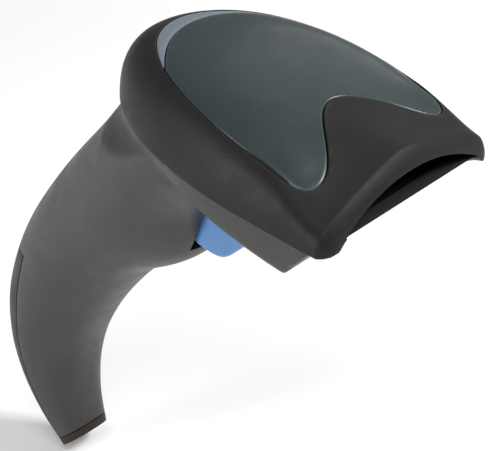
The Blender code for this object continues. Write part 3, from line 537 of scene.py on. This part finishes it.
def mesh_arrays(mesh):
    """Positions and normals of a mesh's vertices, the two ends of its edges, and the edges at each vertex."""
    count = len(mesh.vertices)
    co = np.zeros(count * 3)
    mesh.vertices.foreach_get("co", co)
    normals = np.zeros(count * 3)
    mesh.vertices.foreach_get("normal", normals)
    ends = np.zeros(len(mesh.edges) * 2, int)
    mesh.edges.foreach_get("vertices", ends)
    one, two = ends.reshape(-1, 2).T
    return co.reshape(-1, 3), normals.reshape(-1, 3), one, two, np.bincount(ends, minlength=count)


def mark_edge_wear_and_highlight(mesh):
    """Stores how tightly each vertex curves outwards, from 0 on flat and hollow places to 1 on edges: the mask for
    rubbed wear and painted highlight on edges.
    """
    co, normals, one, two, degree = mesh_arrays(mesh)
    along = co[two] - co[one]
    lengths = np.maximum(np.linalg.norm(along, axis=1), 1e-9)
    along /= lengths[:, None]
    inward = np.zeros_like(co)
    np.add.at(inward, one, along)
    np.add.at(inward, two, -along)
    total = np.bincount(one, lengths, len(co)) + np.bincount(two, lengths, len(co))
    curving = -(inward * normals).sum(1) * MM / np.maximum(total, 1e-9)
    # this mask lightens edges both as rubbed wear and as a painted highlight
    wear_and_highlight = np.clip((curving - EDGE_FLAT) / (EDGE_SHARP - EDGE_FLAT), 0, 1)
    mesh.attributes.new(EDGE_ATTRIBUTE, "FLOAT", "POINT").data.foreach_set("value", wear_and_highlight)


def finish_piece(obj, body, slot, mat, *nodes, crease_degrees=40):
    mark_edge_wear_and_highlight(obj.data)
    obj.data.shade_smooth()
    obj.data.set_sharp_from_angle(angle=math.radians(crease_degrees))
    obj.data.materials.clear()
    obj.data.materials.append(mat)
    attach(obj, body)
    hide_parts(*nodes)


# ---------------------------------------------------------------- top cover


def fine_shares():
    angles = np.linspace(90.0, 3.0, HEAD_ANGLES)
    shares = [math.sin(math.radians(a)) ** (2 / SHOULDER_POWER) for a in angles]
    return shares + list(np.linspace(shares[-1], 0.02, 12)[1:])


def head_line(share, inset, front_s):
    """One line round the head at a share of its outline, from the nose round the back to the nose."""
    half_width = HEAD_HALF_WIDTH * share - inset
    length = HEAD_REAR_LENGTH * share - inset
    side = HEAD_POINTS // 5
    line = [(-half_width, s) for s in np.linspace(front_s, WAIST_S, side)[:-1]]
    for angle in np.linspace(-90, 90, HEAD_POINTS - 2 * side):
        a = math.radians(angle)
        line.append((half_width * math.sin(a), WAIST_S - length * math.cos(a)))
    line += [(half_width, s) for s in np.linspace(WAIST_S, front_s, side)[1:]]
    return line


def bezier(start, middle, end, count):
    points = []
    for f in np.linspace(0.0, 1.0, count):
        points.append(tuple(start * (1 - f) ** 2 + middle * (2 * f * (1 - f)) + end * f**2))
    return points


def nose_profile(share):
    """Rounded front of the head on the near side: the lip's lower edge, its bulged face and the crease."""
    x = -share * (HEAD_HALF_WIDTH - LIP_INSET)
    corner = nose_corner(share)
    edge_s = LIP_S + LIP_SWEEP * share**4 - CORNER_BACK * corner
    edge = Vector((x, edge_s, max(arch_z(x) - LIP_OVERLAP, LIP_FLOOR_Z - corner)))
    crease_x = -share * HEAD_HALF_WIDTH
    crease_s = NOSE_CREASE_S + NOSE_CREASE_SWEEP * share**2 - corner
    start_s = crease_s - LIP_FILLET
    crease = Vector((crease_x, crease_s, top_z(crease_x, crease_s)))
    start = Vector((crease_x, start_s, top_z(crease_x, start_s)))
    front = (edge + crease) / 2 + Vector((0.0, LIP_BULGE, 0.0))
    joint = crease + (front - crease) * LIP_FILLET_FACE
    face = bezier(edge, front, joint, 6)[:-1]
    return face + bezier(joint, crease, start, 7)[:-1], start_s


def cover_rings():
    rings = []
    for share in fine_shares():
        near, start_s = nose_profile(share)
        line = head_line(share, 0.0, start_s)
        ring = [(x, s, top_z(x, s)) for x, s in line]
        far = [(-x, s, z) for x, s, z in reversed(near)]
        rings.append(near + ring + far)
    outline = rings[0]
    rounded = [seam_edge(outline, math.radians(degrees)) for degrees in (90, 60, 30, 0)]
    base = []
    for x, s, _ in outline:
        base_s = BASE_CENTRE_S + BASE_SHARE * (s - BASE_CENTRE_S)
        base.append((BASE_SHARE * x, base_s, seam_z(base_s) + GAP / 2))
    return [base] + rounded + rings[1:]


def seam_edge(outline, angle):
    """The outline at one step of the rounding over the parting line, from 0 on the wall to 90 degrees."""
    inward = EDGE_ROUND * (1 - math.cos(angle))
    lift = GAP / 2 + EDGE_ROUND * (1 - math.sin(angle))
    moved = []
    for x, s, z in outline:
        away = Vector((x, max(WAIST_S - s, 0.0)))
        away *= 1.0 - inward / max(away.length, 1.0)
        moved.append((away.x, WAIST_S - away.y if s < WAIST_S else s, z + lift))
    return moved


def cover_cavity():
    rings = []
    for share in fine_shares()[::3]:
        line = head_line(share, WALL * share, CAVITY_FRONT_S)
        if share == 1.0:
            rings.append([(x, s, seam_z(s) - CAVITY_BELOW_SEAM) for x, s in line])
        drop = CAVITY_SHOULDER if share == 1.0 else 0.0
        rings.append([(x, s, roof_z(x, s) - drop) for x, s in line])
    return loft("cover_cavity", rings, ridge=True)


def panel_front():
    tip_s = TONGUE_S + TONGUE_SWING - TIP_LENGTH
    tip = []
    for degrees in range(0, 84, 7):
        a = math.radians(degrees)
        tip.append((TONGUE_HALF + TIP_WIDTH * math.cos(a), tip_s + TIP_LENGTH * math.sin(a)))
    middle = []
    for x in np.linspace(TONGUE_HALF, -TONGUE_HALF, 61):
        middle.append((x, TONGUE_S - TONGUE_SWING * math.cos(math.pi * x / TONGUE_HALF)))
    return tip + middle + [(-x, s) for x, s in reversed(tip)]


def recess_outline():
    rear = []
    for degrees in np.linspace(-90, 90, 91):
        a = math.radians(degrees)
        rear.append((PANEL_HALF_WIDTH * math.sin(a), WAIST_S - PANEL_REAR_LENGTH * math.cos(a)))
    return rear + panel_front()


def panel_outline():
    outline = []
    for x, s in recess_outline():
        if abs(x) < CRESCENT_HALF and s < WAIST_S / 2:
            s = crescent_front_s(x) - LENS_GAP
        outline.append((x, s))
    return outline


def draped_solid(name, outline, levels):
    """A solid over an outline seen from above. levels are (height function, outline's inward offset)."""
    centre = Vector(DRAPE_CENTRE)
    first, last = levels[0], levels[-1]
    rings = []

    def ring(shape, share, height):
        points = [centre + (Vector(p) - centre) * share for p in shape]
        return [(p.x, p.y, height(p.x, p.y)) for p in points]

    low = offset_outline(outline, first[1])
    rings += [ring(low, share, first[0]) for share in DRAPE_SHARES]
    rings += [ring(offset_outline(outline, inset), 1.0, height) for height, inset in levels]
    high = offset_outline(outline, last[1])
    rings += [ring(high, share, last[0]) for share in reversed(DRAPE_SHARES)]
    return loft(name, rings)


def below_top(depth):
    return lambda x, s: top_z(x, s) - depth


def rim_levels(bottom, inset):
    """Levels of a panel whose upper rim is rounded."""
    levels = [(below_top(bottom), inset)]
    for degrees in (0, 30, 60, 90):
        a = math.radians(degrees)
        drop = PANEL_SINK + EDGE_ROUND * (1 - math.sin(a))
        levels.append((below_top(drop), inset + EDGE_ROUND * (1 - math.cos(a))))
    return levels


def recess_levels():
    """Levels of the recess: straight walls that open out in a rounded edge at the surface."""
    levels = [(below_top(RECESS_DEPTH), 0.0)]
    for degrees in (0, 30, 60, 85):
        a = math.radians(degrees)
        levels.append((below_top(EDGE_ROUND * (1 - math.sin(a))), -EDGE_ROUND * (1 - math.cos(a))))
    levels.append((below_top(-RECESS_CUT_ABOVE), -EDGE_ROUND * RECESS_FLARE))
    return levels


def window_cutter():
    """The recess's arched opening, flared at the very front into a fine bevel on the lip's lower edge."""
    rings = []
    for s, grow in WINDOW_STEPS:
        rings.append([(x, s, z) for x, z in arch_outline(grow)])
    return loft("window_opening", rings)


def arch_outline(grow, floor_grow=None):
    """Outline of the window recess in x and z, grown outwards by a margin above and below."""
    curve = (ARCH_TOP_Z - SILL_Z) / ARCH_HALF_WIDTH**2
    top = ARCH_TOP_Z + grow
    floor = SILL_Z - (grow if floor_grow is None else floor_grow)
    half = math.sqrt((top - floor) / curve)
    return [(x, top - curve * x * x) for x in np.linspace(half, -half, 61)]


def sill_chamfer():
    """Cuts back the lip's underside: level along the sill, and sinking in a curve across each cheek."""
    rings = []
    for x in np.linspace(-CHEEK_OUTER_X, CHEEK_OUTER_X, 71):
        sink = CHEEK_SINK * smooth_ramp(abs(x), SILL_END_X, CHEEK_OUTER_X)
        top = SILL_Z - SILL_THICKNESS - sink
        back = SILL_S - SILL_CHAMFER
        low = min(top - 0.1, SEAM_FRONT_Z)
        profile = ((SILL_S, top), (CHAMFER_FRONT_S, top), (CHAMFER_FRONT_S, CHAMFER_LOW_Z))
        rings.append([(x, s, z) for s, z in (*profile, (back, CHAMFER_LOW_Z), (back, low))])
    return loft("sill_chamfer", rings)


def make_top_cover(mats):
    cover = loft("cover_skin", cover_rings(), ridge=True)
    cut(cover, cover_cavity())
    posts = [(x, s, seam_z(s) + BOARD_Z + BOARD_HALF + GAP) for x, s in BOARD_SCREWS]
    posts += [(x, s, seam_z(s) + HOUSING_POST_LIFT) for x, s in HOUSING_SCREWS]
    for i, (x, s, low) in enumerate(posts):
        join(cover, post(f"cover_post_{i}", x, s, low, roof_z(x, s) + SUPPORT_INSET, *POST_SIZE))
    cut(cover, draped_solid("panel_recess", recess_outline(), recess_levels()), window_cutter())
    cut(cover, sill_chamfer())
    cut(cover, rod("light_pipe_hole", (0, INDICATOR_S, -8), (0, INDICATOR_S, 8), LIGHT_PIPE_HOLE_RADIUS))
    finish_piece(cover, "housing", "black_cover", mats["black_cover"], "top_cover", crease_degrees=50)


def make_panel(mats):
    panel = draped_solid("panel_skin", offset_outline(panel_outline(), GAP), rim_levels(PANEL_THICKNESS, 0.0))
    finish_piece(panel, "housing", "panel", mats["panel"], "inlay_panel")


def make_indicator(mats):
    lens_z = below_top(PANEL_SINK)
    rings = []
    for x in np.linspace(-CRESCENT_HALF + 0.6, CRESCENT_HALF - 0.6, 81):
        back = panel_rear_s(x) + GAP
        front = crescent_front_s(x) - LENS_GAP
        room = front - back
        rim = min(EDGE_ROUND, room / 3)
        low = max(top_z(x, back), top_z(x, front)) - PANEL_THICKNESS
        ring = [(x, back, lens_z(x, back) - rim), (x, back + rim * 0.3, lens_z(x, back) - rim * 0.3)]
        for f in np.linspace(0.0, 1.0, 5):
            s = back + rim + (room - 2 * rim) * f
            ring.append((x, s, lens_z(x, s)))
        ring += [(x, front - rim * 0.3, lens_z(x, front) - rim * 0.3), (x, front, lens_z(x, front) - rim)]
        rings.append(ring + [(x, front, low), (x, back, low)])
    lens = loft("indicator_skin", rings)
    finish_piece(lens, "housing", "indicator", mats["indicator"], "indicator_lens")


def make_nose(mats):
    bezel = prism("bezel_skin", arch_outline(0.9, 0.7), *BEZEL_S, 1)
    funnel = []
    for s, grow in FUNNEL_STEPS:
        funnel.append([(x, s, z) for x, z in arch_outline(grow)])
    cut(bezel, loft("bezel_funnel", funnel))
    finish_piece(bezel, "housing", "inner_black", mats["recess"], "nose_bezel")
    gasket = prism("gasket_skin", arch_outline(0.6), *GASKET_S, 1)
    cut(gasket, prism("gasket_hole", arch_outline(-2.2), 60, 70, 1))
    finish_piece(gasket, "housing", "rubber", mats["rubber"], "window_gasket")
    window = prism("window_skin", arch_outline(0.0), *WINDOW_S, 1)
    finish_piece(window, "housing", "window", mats["window"], "scan_window")


# ---------------------------------------------------------------- housing and rear cover


def tub_rings(inset, top_offset, bottom_inset):
    """The tub's wall at many depths, on a smooth curve through its profile."""
    depths = [d for d, _ in TUB_PROFILE]
    shrinks = [w for _, w in TUB_PROFILE]
    rings = []
    for depth in [top_offset, *np.linspace(0.0, 0.8, 9), 0.86, 0.91, 0.95, 0.98, 1.0]:
        fraction = max(depth, 0.0)
        shrink = float(np.interp(fraction, depths, shrinks))
        front_s = TUB_SEAM_FRONT_S + (TUB_CHIN_S - TUB_SEAM_FRONT_S) * fraction - inset
        ring = []
        for x, s in head_line(1.0, TUB_STEP + inset + shrink, front_s):
            deeper = smooth_ramp(s, TUB_DEEPENS_FROM_S, TUB_DEEPENS_TO_S)
            total = TUB_DEPTH_REAR + (TUB_DEPTH_FRONT - TUB_DEPTH_REAR) * deeper
            ring.append((x, s, seam_z(s) - GAP / 2 - depth * (total - bottom_inset)))
        rings.append(ring)
    return rings


def handle_ring(t, inset, slide=(0.0, 0.0)):
    back, front, half = handle_section(t)
    axis = (front - back) / np.linalg.norm(front - back)
    half_depth = np.linalg.norm(front - back) / 2 - inset
    centre = (back + front) / 2 + np.array(slide)
    ring = []
    for i in range(HANDLE_POINTS):
        a = 2 * math.pi * i / HANDLE_POINTS
        c, n = math.cos(a), math.sin(a)
        depth = math.copysign(abs(c) ** (2 / HANDLE_POWER), c) * half_depth
        across = math.copysign(abs(n) ** (2 / HANDLE_POWER), n) * (half - inset)
        s, z = centre + axis * depth
        ring.append(under_head(across, s, z, inset))
    return ring


def handle_solid(name, inset=0.0, end_stop=0.0):
    rings = [handle_ring(t, inset) for t in np.linspace(0.0, 1.0, HANDLE_RINGS)]
    if end_stop:
        rings[-1] = handle_ring(1.0, inset, -end_normal() * end_stop)
        rings.insert(0, handle_ring(0.0, inset, CAVITY_RISE))
    return loft(name, rings)


def soften_hollows(obj, passes):
    """Fills the inward creases of a fine even mesh with a soft fillet, then evens out the whole of it."""
    mesh = obj.data
    co, normals, one, two, degree = mesh_arrays(mesh)
    count = len(co)

    def neighbours(values):
        total = np.bincount(one, values[two], count) + np.bincount(two, values[one], count)
        return total / degree

    def pull(points):
        return np.column_stack([neighbours(points[:, k]) for k in range(3)]) - points

    hollow = (pull(co) * normals).sum(1) / (HOUSING_VOXEL * MM)
    mask = np.clip((hollow - HOLLOW_START) * HOLLOW_GAIN, 0, 1)
    for _ in range(HOLLOW_GROWTH):
        mask = np.maximum(mask, neighbours(mask))
    for _ in range(HOLLOW_BLUR):
        mask = neighbours(mask)
    for _ in range(passes):
        co = co + pull(co) * (SMOOTH_SHRINK * mask)[:, None]
    for _ in range(SMOOTH_PASSES):
        co = co + pull(co) * SMOOTH_SHRINK
        co = co - pull(co) * SMOOTH_SWELL
    mesh.vertices.foreach_set("co", co.ravel())
    mesh.update()


def above_seam(name, offset):
    """Everything above the parting line, moved by an offset."""
    back, front = SEAM_TRIM_S
    outline = [(back, seam_z(back) + offset), (front, seam_z(front) + offset)]
    outline += [(front, SEAM_TRIM_TOP_Z), (back, SEAM_TRIM_TOP_Z)]
    return prism(name, outline, -SEAM_TRIM_HALF_WIDTH, SEAM_TRIM_HALF_WIDTH, 0)


def rear_region(name, clearance):
    rings = []
    start = REAR_COVER_START - clearance / REAR_CLEARANCE_LENGTH
    for down in np.linspace(0.0, 1.0, 40):
        t = start + (1.0 - start) * down
        seam = REAR_SEAM_TOP + (REAR_SEAM_END - REAR_SEAM_TOP) * down
        seam += REAR_SEAM_BOW * math.sin(math.pi * down)
        edge = seam + clearance / REAR_CLEARANCE_DEPTH
        corners = ((BEYOND_BACK, -1), (edge, -1), (edge, 1), (BEYOND_BACK, 1))
        rings.append([handle_point(t, depth, BEYOND_SIDE * side) for depth, side in corners])
    strip = loft(name, rings)
    slab_rings = []
    for lift in (CAP_RIM + clearance, -BELOW_END):
        shift = -end_normal() * lift
        ring = [handle_point(1.0, BEYOND_END * u, BEYOND_END * v) for u, v in SQUARE]
        slab_rings.append([(x, s + shift[0], z + shift[1]) for x, s, z in ring])
    join(strip, loft(name + "_end", slab_rings))
    return strip


def socket_block(name, half_x, half_depth, start, stop):
    centre, inward, along = end_frame()
    rings = []
    for level in (start, stop):
        ring = []
        for sx, sd in SQUARE:
            point = centre + inward * level + along * (half_depth * sd)
            ring.append((half_x * sx, point[0], point[1]))
        rings.append(ring)
    return loft(name, rings)


def make_housing(mats):
    """Tub and handle melted into one moulding with a soft hollow between them, then hollowed and cut."""
    housing = loft("housing_skin", tub_rings(0.0, -0.2, 0.0))
    join(housing, handle_solid("handle_body"))
    remesh = housing.modifiers.new("even_mesh", "REMESH")
    remesh.mode = "VOXEL"
    remesh.voxel_size = HOUSING_VOXEL * MM
    apply_modifiers(housing)
    soften_hollows(housing, FILLET_PASSES)
    cut(housing, handle_solid("handle_cavity", HANDLE_WALL, END_CAP))
    cut(housing, loft("tub_cavity", tub_rings(WALL, -0.3, WALL)))
    cut(housing, above_seam("seam_trim", -GAP / 2), rear_region("rear_opening", GAP))
    cut(housing, prism("trigger_slot", TRIGGER_SLOT, -SLOT_HALF_WIDTH, SLOT_HALF_WIDTH, 0))
    add_inner_supports(housing)
    finish_piece(housing, "housing", "grey_housing", mats["grey_housing"], "lower_housing", crease_degrees=50)


def add_inner_supports(housing):
    """Bridge, rib and lugs round the trigger, and the screw posts, as the CAD's housing has them."""
    walls = []
    for name, s_range, z_range in (("trigger_bridge", BRIDGE_S, BRIDGE_Z), ("switch_rib", RIB_S, RIB_Z)):
        low, high = zip((-SUPPORT_HALF_WIDTH, SUPPORT_HALF_WIDTH), s_range, z_range)
        wall = box(name, low, high)
        combine(wall, handle_solid(name + "_core", SUPPORT_INSET, END_CAP), "INTERSECT")
        walls.append(wall)
    join(housing, *walls)
    s, z = PIVOT
    for side in (-1, 1):
        low, high = sorted((side * LUG_INNER_X, side * LUG_OUTER_X))
        first = (low, s - LUG_REACH, z - LUG_REACH)
        second = (high, s + LUG_REACH, LUG_TOP_Z)
        join(housing, box(f"pivot_lug_{side}", first, second))
    cut(housing, rod("pivot_bore", (-PIN_BORE_X, s, z), (PIN_BORE_X, s, z), PIVOT_RADIUS + GAP))
    for side in (-1, 1):
        x = side * ENGINE_SCREW_X
        ends = (ENGINE_POST_TOP_Z, ENGINE_POST_LOW_Z)
        join(housing, post(f"engine_post_{side}", x, ENGINE_SCREW_S, *ends, *ENGINE_POST_SIZE))
    for i, (x, s) in enumerate(HOUSING_SCREWS):
        top = seam_z(s) + HOUSING_POST_LIFT - GAP
        seat = seam_z(s) - COUNTERBORE_DEPTH
        join(housing, rod(f"screw_seat_{i}", (x, s, seam_z(s) - SEAT_DEPTH), (x, s, top), SEAT_RADIUS))
        low, high = SCREW_BORE_Z
        cut(housing, rod(f"screw_bore_{i}", (x, s, low), (x, s, high), SCREW_BORE_RADIUS))
        cut(housing, rod(f"screw_counterbore_{i}", (x, s, low), (x, s, seat), COUNTERBORE_RADIUS))


def make_rear_cover(mats):
    cover = handle_solid("rear_skin")
    cut(cover, handle_solid("rear_cavity", HANDLE_WALL, END_CAP))
    combine(cover, rear_region("rear_strip", 0.0), "INTERSECT")
    cut(cover, socket_block("socket_outlet", *SOCKET_HALVES, *SOCKET_REACH))
    finish_piece(cover, "housing", "rear_plastic", mats["rear_plastic"], "rear_cover", crease_degrees=50)


# ---------------------------------------------------------------- trigger


def smooth_closed(corners, steps):
    """A closed Catmull-Rom curve through a few corners."""
    rows = [np.array(c, float) for c in corners]
    count = len(rows)
    path = []
    for i in range(count):
        p0, p1, p2, p3 = (rows[(i + k) % count] for k in (-1, 0, 1, 2))
        path += [tuple(catmull_rom(p0, p1, p2, p3, f)) for f in np.arange(steps) / steps]
    return path


def make_trigger(mats):
    """The finger face and its flanks with softly rounded edges, and the pin's bore through its hub."""
    outline = smooth_closed(FINGER_FACE + TRIGGER_FOOT + TRIGGER_BACK + TRIGGER_HUB, 4)
    rings = []
    for side in (-1, 1):
        layers = []
        for degrees in (0, 22, 45, 67, 90):
            a = math.radians(degrees)
            level = TRIGGER_HALF_WIDTH - TRIGGER_EDGE * (1 - math.sin(a))
            inset = TRIGGER_EDGE * (1 - math.cos(a))
            layers.append([(side * level, s, z) for s, z in offset_outline(outline, -inset)])
        rings += layers[::-1] if side < 0 else layers
    trigger = loft("trigger_skin", rings)
    for side in (-1, 1):
        low, high = zip(sorted(side * x for x in HUB_RELIEF_X), HUB_RELIEF_S, HUB_RELIEF_Z)
        cut(trigger, box(f"hub_relief_{side}", low, high))
    s, z = PIVOT
    cut(trigger, rod("trigger_bore", (-TRIGGER_BORE_X, s, z), (TRIGGER_BORE_X, s, z), PIVOT_RADIUS + GAP))
    finish_piece(trigger, "trigger", "blue_trigger", mats["blue_trigger"], "trigger")


# ---------------------------------------------------------------- materials


class Nodes:
    """Short ways to add shader nodes to one material."""

    def __init__(self, name):
        self.mat = bpy.data.materials.new(name)
        self.mat.use_nodes = True
        self.tree = self.mat.node_tree
        self.shader = self.tree.nodes["Principled BSDF"]
        self.coords = self.tree.nodes.new("ShaderNodeTexCoord").outputs["Object"]

    def noise(self, scale, detail=4.0, rough=0.6):
        node = self.tree.nodes.new("ShaderNodeTexNoise")
        node.inputs["Scale"].default_value = scale
        node.inputs["Detail"].default_value = detail
        node.inputs["Roughness"].default_value = rough
        self.tree.links.new(self.coords, node.inputs["Vector"])
        return node.outputs["Fac"]

    def spread(self, value, low, high, from_low=0.35, from_high=0.65):
        node = self.tree.nodes.new("ShaderNodeMapRange")
        node.inputs["From Min"].default_value = from_low
        node.inputs["From Max"].default_value = from_high
        node.inputs["To Min"].default_value = low
        node.inputs["To Max"].default_value = high
        self.tree.links.new(value, node.inputs["Value"])
        return node.outputs["Result"]

    def mix(self, share, first, second):
        node = self.tree.nodes.new("ShaderNodeMix")
        node.data_type = "RGBA"
        self.tree.links.new(share, node.inputs[0])
        for socket, value in ((node.inputs[6], first), (node.inputs[7], second)):
            if isinstance(value, tuple):
                socket.default_value = (*value, 1.0)
            else:
                self.tree.links.new(value, socket)
        return node.outputs[2]

    def bump(self, height, strength, distance):
        node = self.tree.nodes.new("ShaderNodeBump")
        node.inputs["Strength"].default_value = strength
        node.inputs["Distance"].default_value = distance
        self.tree.links.new(height, node.inputs["Height"])
        self.tree.links.new(node.outputs["Normal"], self.shader.inputs["Normal"])

    def edges(self):
        # mask of rubbed wear and painted highlight on edges
        node = self.tree.nodes.new("ShaderNodeAttribute")
        node.attribute_name = EDGE_ATTRIBUTE
        return node.outputs["Fac"]

    def link(self, value, socket):
        self.tree.links.new(value, self.shader.inputs[socket])


def scaled(color, factor):
    return tuple(min(c * factor, 1.0) for c in color)


def moulded(name, color, rough, grain, depth, wear_and_highlight=1.35, specular=0.5, metallic=0.0, transmission=0.0):
    """Moulded or finished surface: fine grain, slow mottling of tone and gloss, and edges painted lighter, partly
    as rubbed wear and partly as a painted highlight.
    """
    nodes = Nodes(name)
    dark, light = (scaled(color, tone) for tone in MOTTLE_TONES)
    mottle = nodes.mix(nodes.spread(nodes.noise(MOTTLE_SCALE), 0.0, 1.0), dark, light)
    speckle = nodes.spread(nodes.noise(grain, 2.0), 0.0, SPECKLE_SHARE)
    grained = nodes.mix(speckle, mottle, scaled(color, SPECKLE_TONE))
    # edges lightened: rubbed wear, and a painted highlight along rims and creases
    worn_and_highlit = nodes.mix(nodes.edges(), grained, scaled(color, wear_and_highlight))
    nodes.link(worn_and_highlit, "Base Color")
    gloss = nodes.spread(nodes.noise(GLOSS_SCALE), rough - GLOSS_SWING, rough + GLOSS_SWING)
    nodes.link(gloss, "Roughness")
    nodes.bump(nodes.noise(grain, 3.0), BUMP_STRENGTH, depth)
    nodes.shader.inputs["Specular IOR Level"].default_value = specular
    nodes.shader.inputs["Metallic"].default_value = metallic
    nodes.shader.inputs["Transmission Weight"].default_value = transmission
    nodes.mat.diffuse_color = (*color, 1.0)
    return nodes.mat


def make_materials():
    return {
        # strong edge lightening here paints a highlight along the lip's crease, besides rubbed wear
        "black_cover": moulded(
            "soft_touch_black", (0.0175, 0.0171, 0.0166), 0.44, 2600.0, 0.00012, wear_and_highlight=1.7, specular=0.10
        ),
        "grey_housing": moulded(
            "textured_grey", (0.036, 0.036, 0.0356), 0.42, 2200.0, 0.00010, wear_and_highlight=1.4, specular=0.30
        ),
        "rear_plastic": moulded(
            "smooth_brown_grey", (0.026, 0.0205, 0.0165), 0.45, 2200.0, 0.00002, wear_and_highlight=1.35, specular=0.14
        ),
        # very strong edge lightening paints a highlight line along the panel's rim
        "panel": moulded(
            "satin_inlay", (0.0290, 0.0405, 0.0420), 0.27, 3200.0, 0.00001, wear_and_highlight=4.0, specular=0.30
        ),
        "blue_trigger": moulded(
            "satin_blue", (0.086, 0.205, 0.430), 0.38, 2600.0, 0.00002, wear_and_highlight=1.15, specular=0.38
        ),
        "indicator": moulded("frosted_lens", (0.150, 0.185, 0.215), 0.26, 1800.0, 0.00001, wear_and_highlight=1.2),
        "window": moulded(
            "red_filter", (0.020, 0.005, 0.006), 0.06, 900.0, 0.000002,
            wear_and_highlight=1.0, specular=0.4, transmission=0.3,
        ),
        "recess": moulded(
            "gloss_black", (0.0035, 0.0038, 0.0045), 0.16, 1500.0, 0.00001, wear_and_highlight=1.2, specular=0.3
        ),
        "inner_black": moulded("matt_black", (0.012, 0.012, 0.012), 0.55, 2000.0, 0.00003),
        "rubber": moulded("gasket_rubber", (0.020, 0.020, 0.020), 0.82, 2000.0, 0.00004),
        "circuit_green": moulded("solder_mask", (0.020, 0.120, 0.050), 0.36, 1200.0, 0.00002),
        "chip": moulded("moulded_chip", (0.015, 0.015, 0.017), 0.45, 2400.0, 0.00002),
        "steel": moulded(
            "plated_steel", (0.550, 0.550, 0.570), 0.30, 900.0, 0.00001, wear_and_highlight=1.1, metallic=1.0
        ),
        "gold": moulded("gold_flash", (0.750, 0.520, 0.200), 0.28, 900.0, 0.00001, wear_and_highlight=1.1, metallic=1.0),
        "glass": moulded(
            "clear_optic", (0.850, 0.880, 0.900), 0.08, 600.0, 0.000001, wear_and_highlight=1.0, transmission=0.9
        ),
        "white_plastic": moulded(
            "natural_moulding", (0.750, 0.740, 0.700), 0.45, 1800.0, 0.00002, wear_and_highlight=1.05
        ),
        "led": moulded("lamp_resin", (0.800, 0.780, 0.600), 0.30, 1200.0, 0.00001, wear_and_highlight=1.05),
        "flex": moulded("amber_film", (0.550, 0.300, 0.080), 0.38, 1500.0, 0.00001, wear_and_highlight=1.1),
        "cable": moulded("cable_jacket", (0.030, 0.030, 0.030), 0.55, 1800.0, 0.00003),
    }


def finish_inner_nodes(mats):
    """Gives each CAD node that stays in view its own finish, by its slot in the record."""
    for part in frame["record"]["subparts"]:
        node = frame["nodes"][part["node"]]
        if not node.hide_render:
            node.data.materials.clear()
            node.data.materials.append(mats[part["material_slot"]])


# ---------------------------------------------------------------- stage


def aim(obj, target):
    obj.rotation_mode = "QUATERNION"
    obj.rotation_quaternion = (target - obj.location).to_track_quat("-Z", "Y")


def around(target, azimuth, elevation, distance):
    a, e = math.radians(azimuth), math.radians(elevation)
    back = Vector((math.sin(a) * math.cos(e), -math.cos(a) * math.cos(e), math.sin(e)))
    return target + back * distance


def make_camera():
    data = bpy.data.cameras.new("camera")
    data.lens = CAMERA_LENS
    data.sensor_width = SENSOR_WIDTH
    camera = bpy.data.objects.new("camera", data)
    bpy.context.collection.objects.link(camera)
    target = place(*CAMERA_TARGET)
    camera.location = around(target, CAMERA_AZIMUTH, CAMERA_ELEVATION, CAMERA_DISTANCE * MM)
    aim(camera, target)
    bpy.context.scene.camera = camera


def area_light(name, azimuth, elevation, distance, size, power, color):
    data = bpy.data.lights.new(name, "AREA")
    data.shape = "DISK"
    data.size = size
    data.energy = power
    data.color = color
    light = bpy.data.objects.new(name, data)
    bpy.context.collection.objects.link(light)
    middle = (CAD_BOX[0] + CAD_BOX[1]) / 2
    light.location = around(middle, azimuth, elevation, distance)
    light.visible_camera = False
    aim(light, middle)


def make_world():
    world = bpy.data.worlds.new("studio")
    world.use_nodes = True
    background = world.node_tree.nodes["Background"]
    background.inputs["Color"].default_value = (*WHITE, 1.0)
    background.inputs["Strength"].default_value = WORLD_STRENGTH
    bpy.context.scene.world = world
    bpy.context.scene.view_settings.view_transform = "Standard"


def paper_finish():
    """Plain pale paper that glows a little."""
    paper = Nodes("studio_paper")
    dark, light = ((tone, tone, tone) for tone in PAPER_TONES)
    tone = paper.mix(paper.spread(paper.noise(3.0), 0.0, 1.0), dark, light)
    paper.link(tone, "Base Color")
    paper.shader.inputs["Roughness"].default_value = PAPER_ROUGHNESS
    paper.shader.inputs["Emission Color"].default_value = (*WHITE, 1.0)
    paper.shader.inputs["Emission Strength"].default_value = FLOOR_GLOW
    return paper.mat


def make_floor():
    mesh = bpy.data.meshes.new("floor")
    corners = [(x * FLOOR_REACH, y * FLOOR_REACH, 0) for x, y in SQUARE]
    mesh.from_pydata(corners, [], [(0, 1, 2, 3)])
    floor = bpy.data.objects.new("floor", mesh)
    floor.location.z = CAD_BOX[0].z - FLOOR_DROP
    bpy.context.collection.objects.link(floor)
    mesh.materials.append(paper_finish())


def make_stage():
    make_world()
    make_floor()
    for light in LIGHTS:
        area_light(*light)


make_camera()
make_stage()
materials = make_materials()
make_top_cover(materials)
make_panel(materials)
make_indicator(materials)
make_nose(materials)
make_housing(materials)
make_rear_cover(materials)
make_trigger(materials)
finish_inner_nodes(materials)
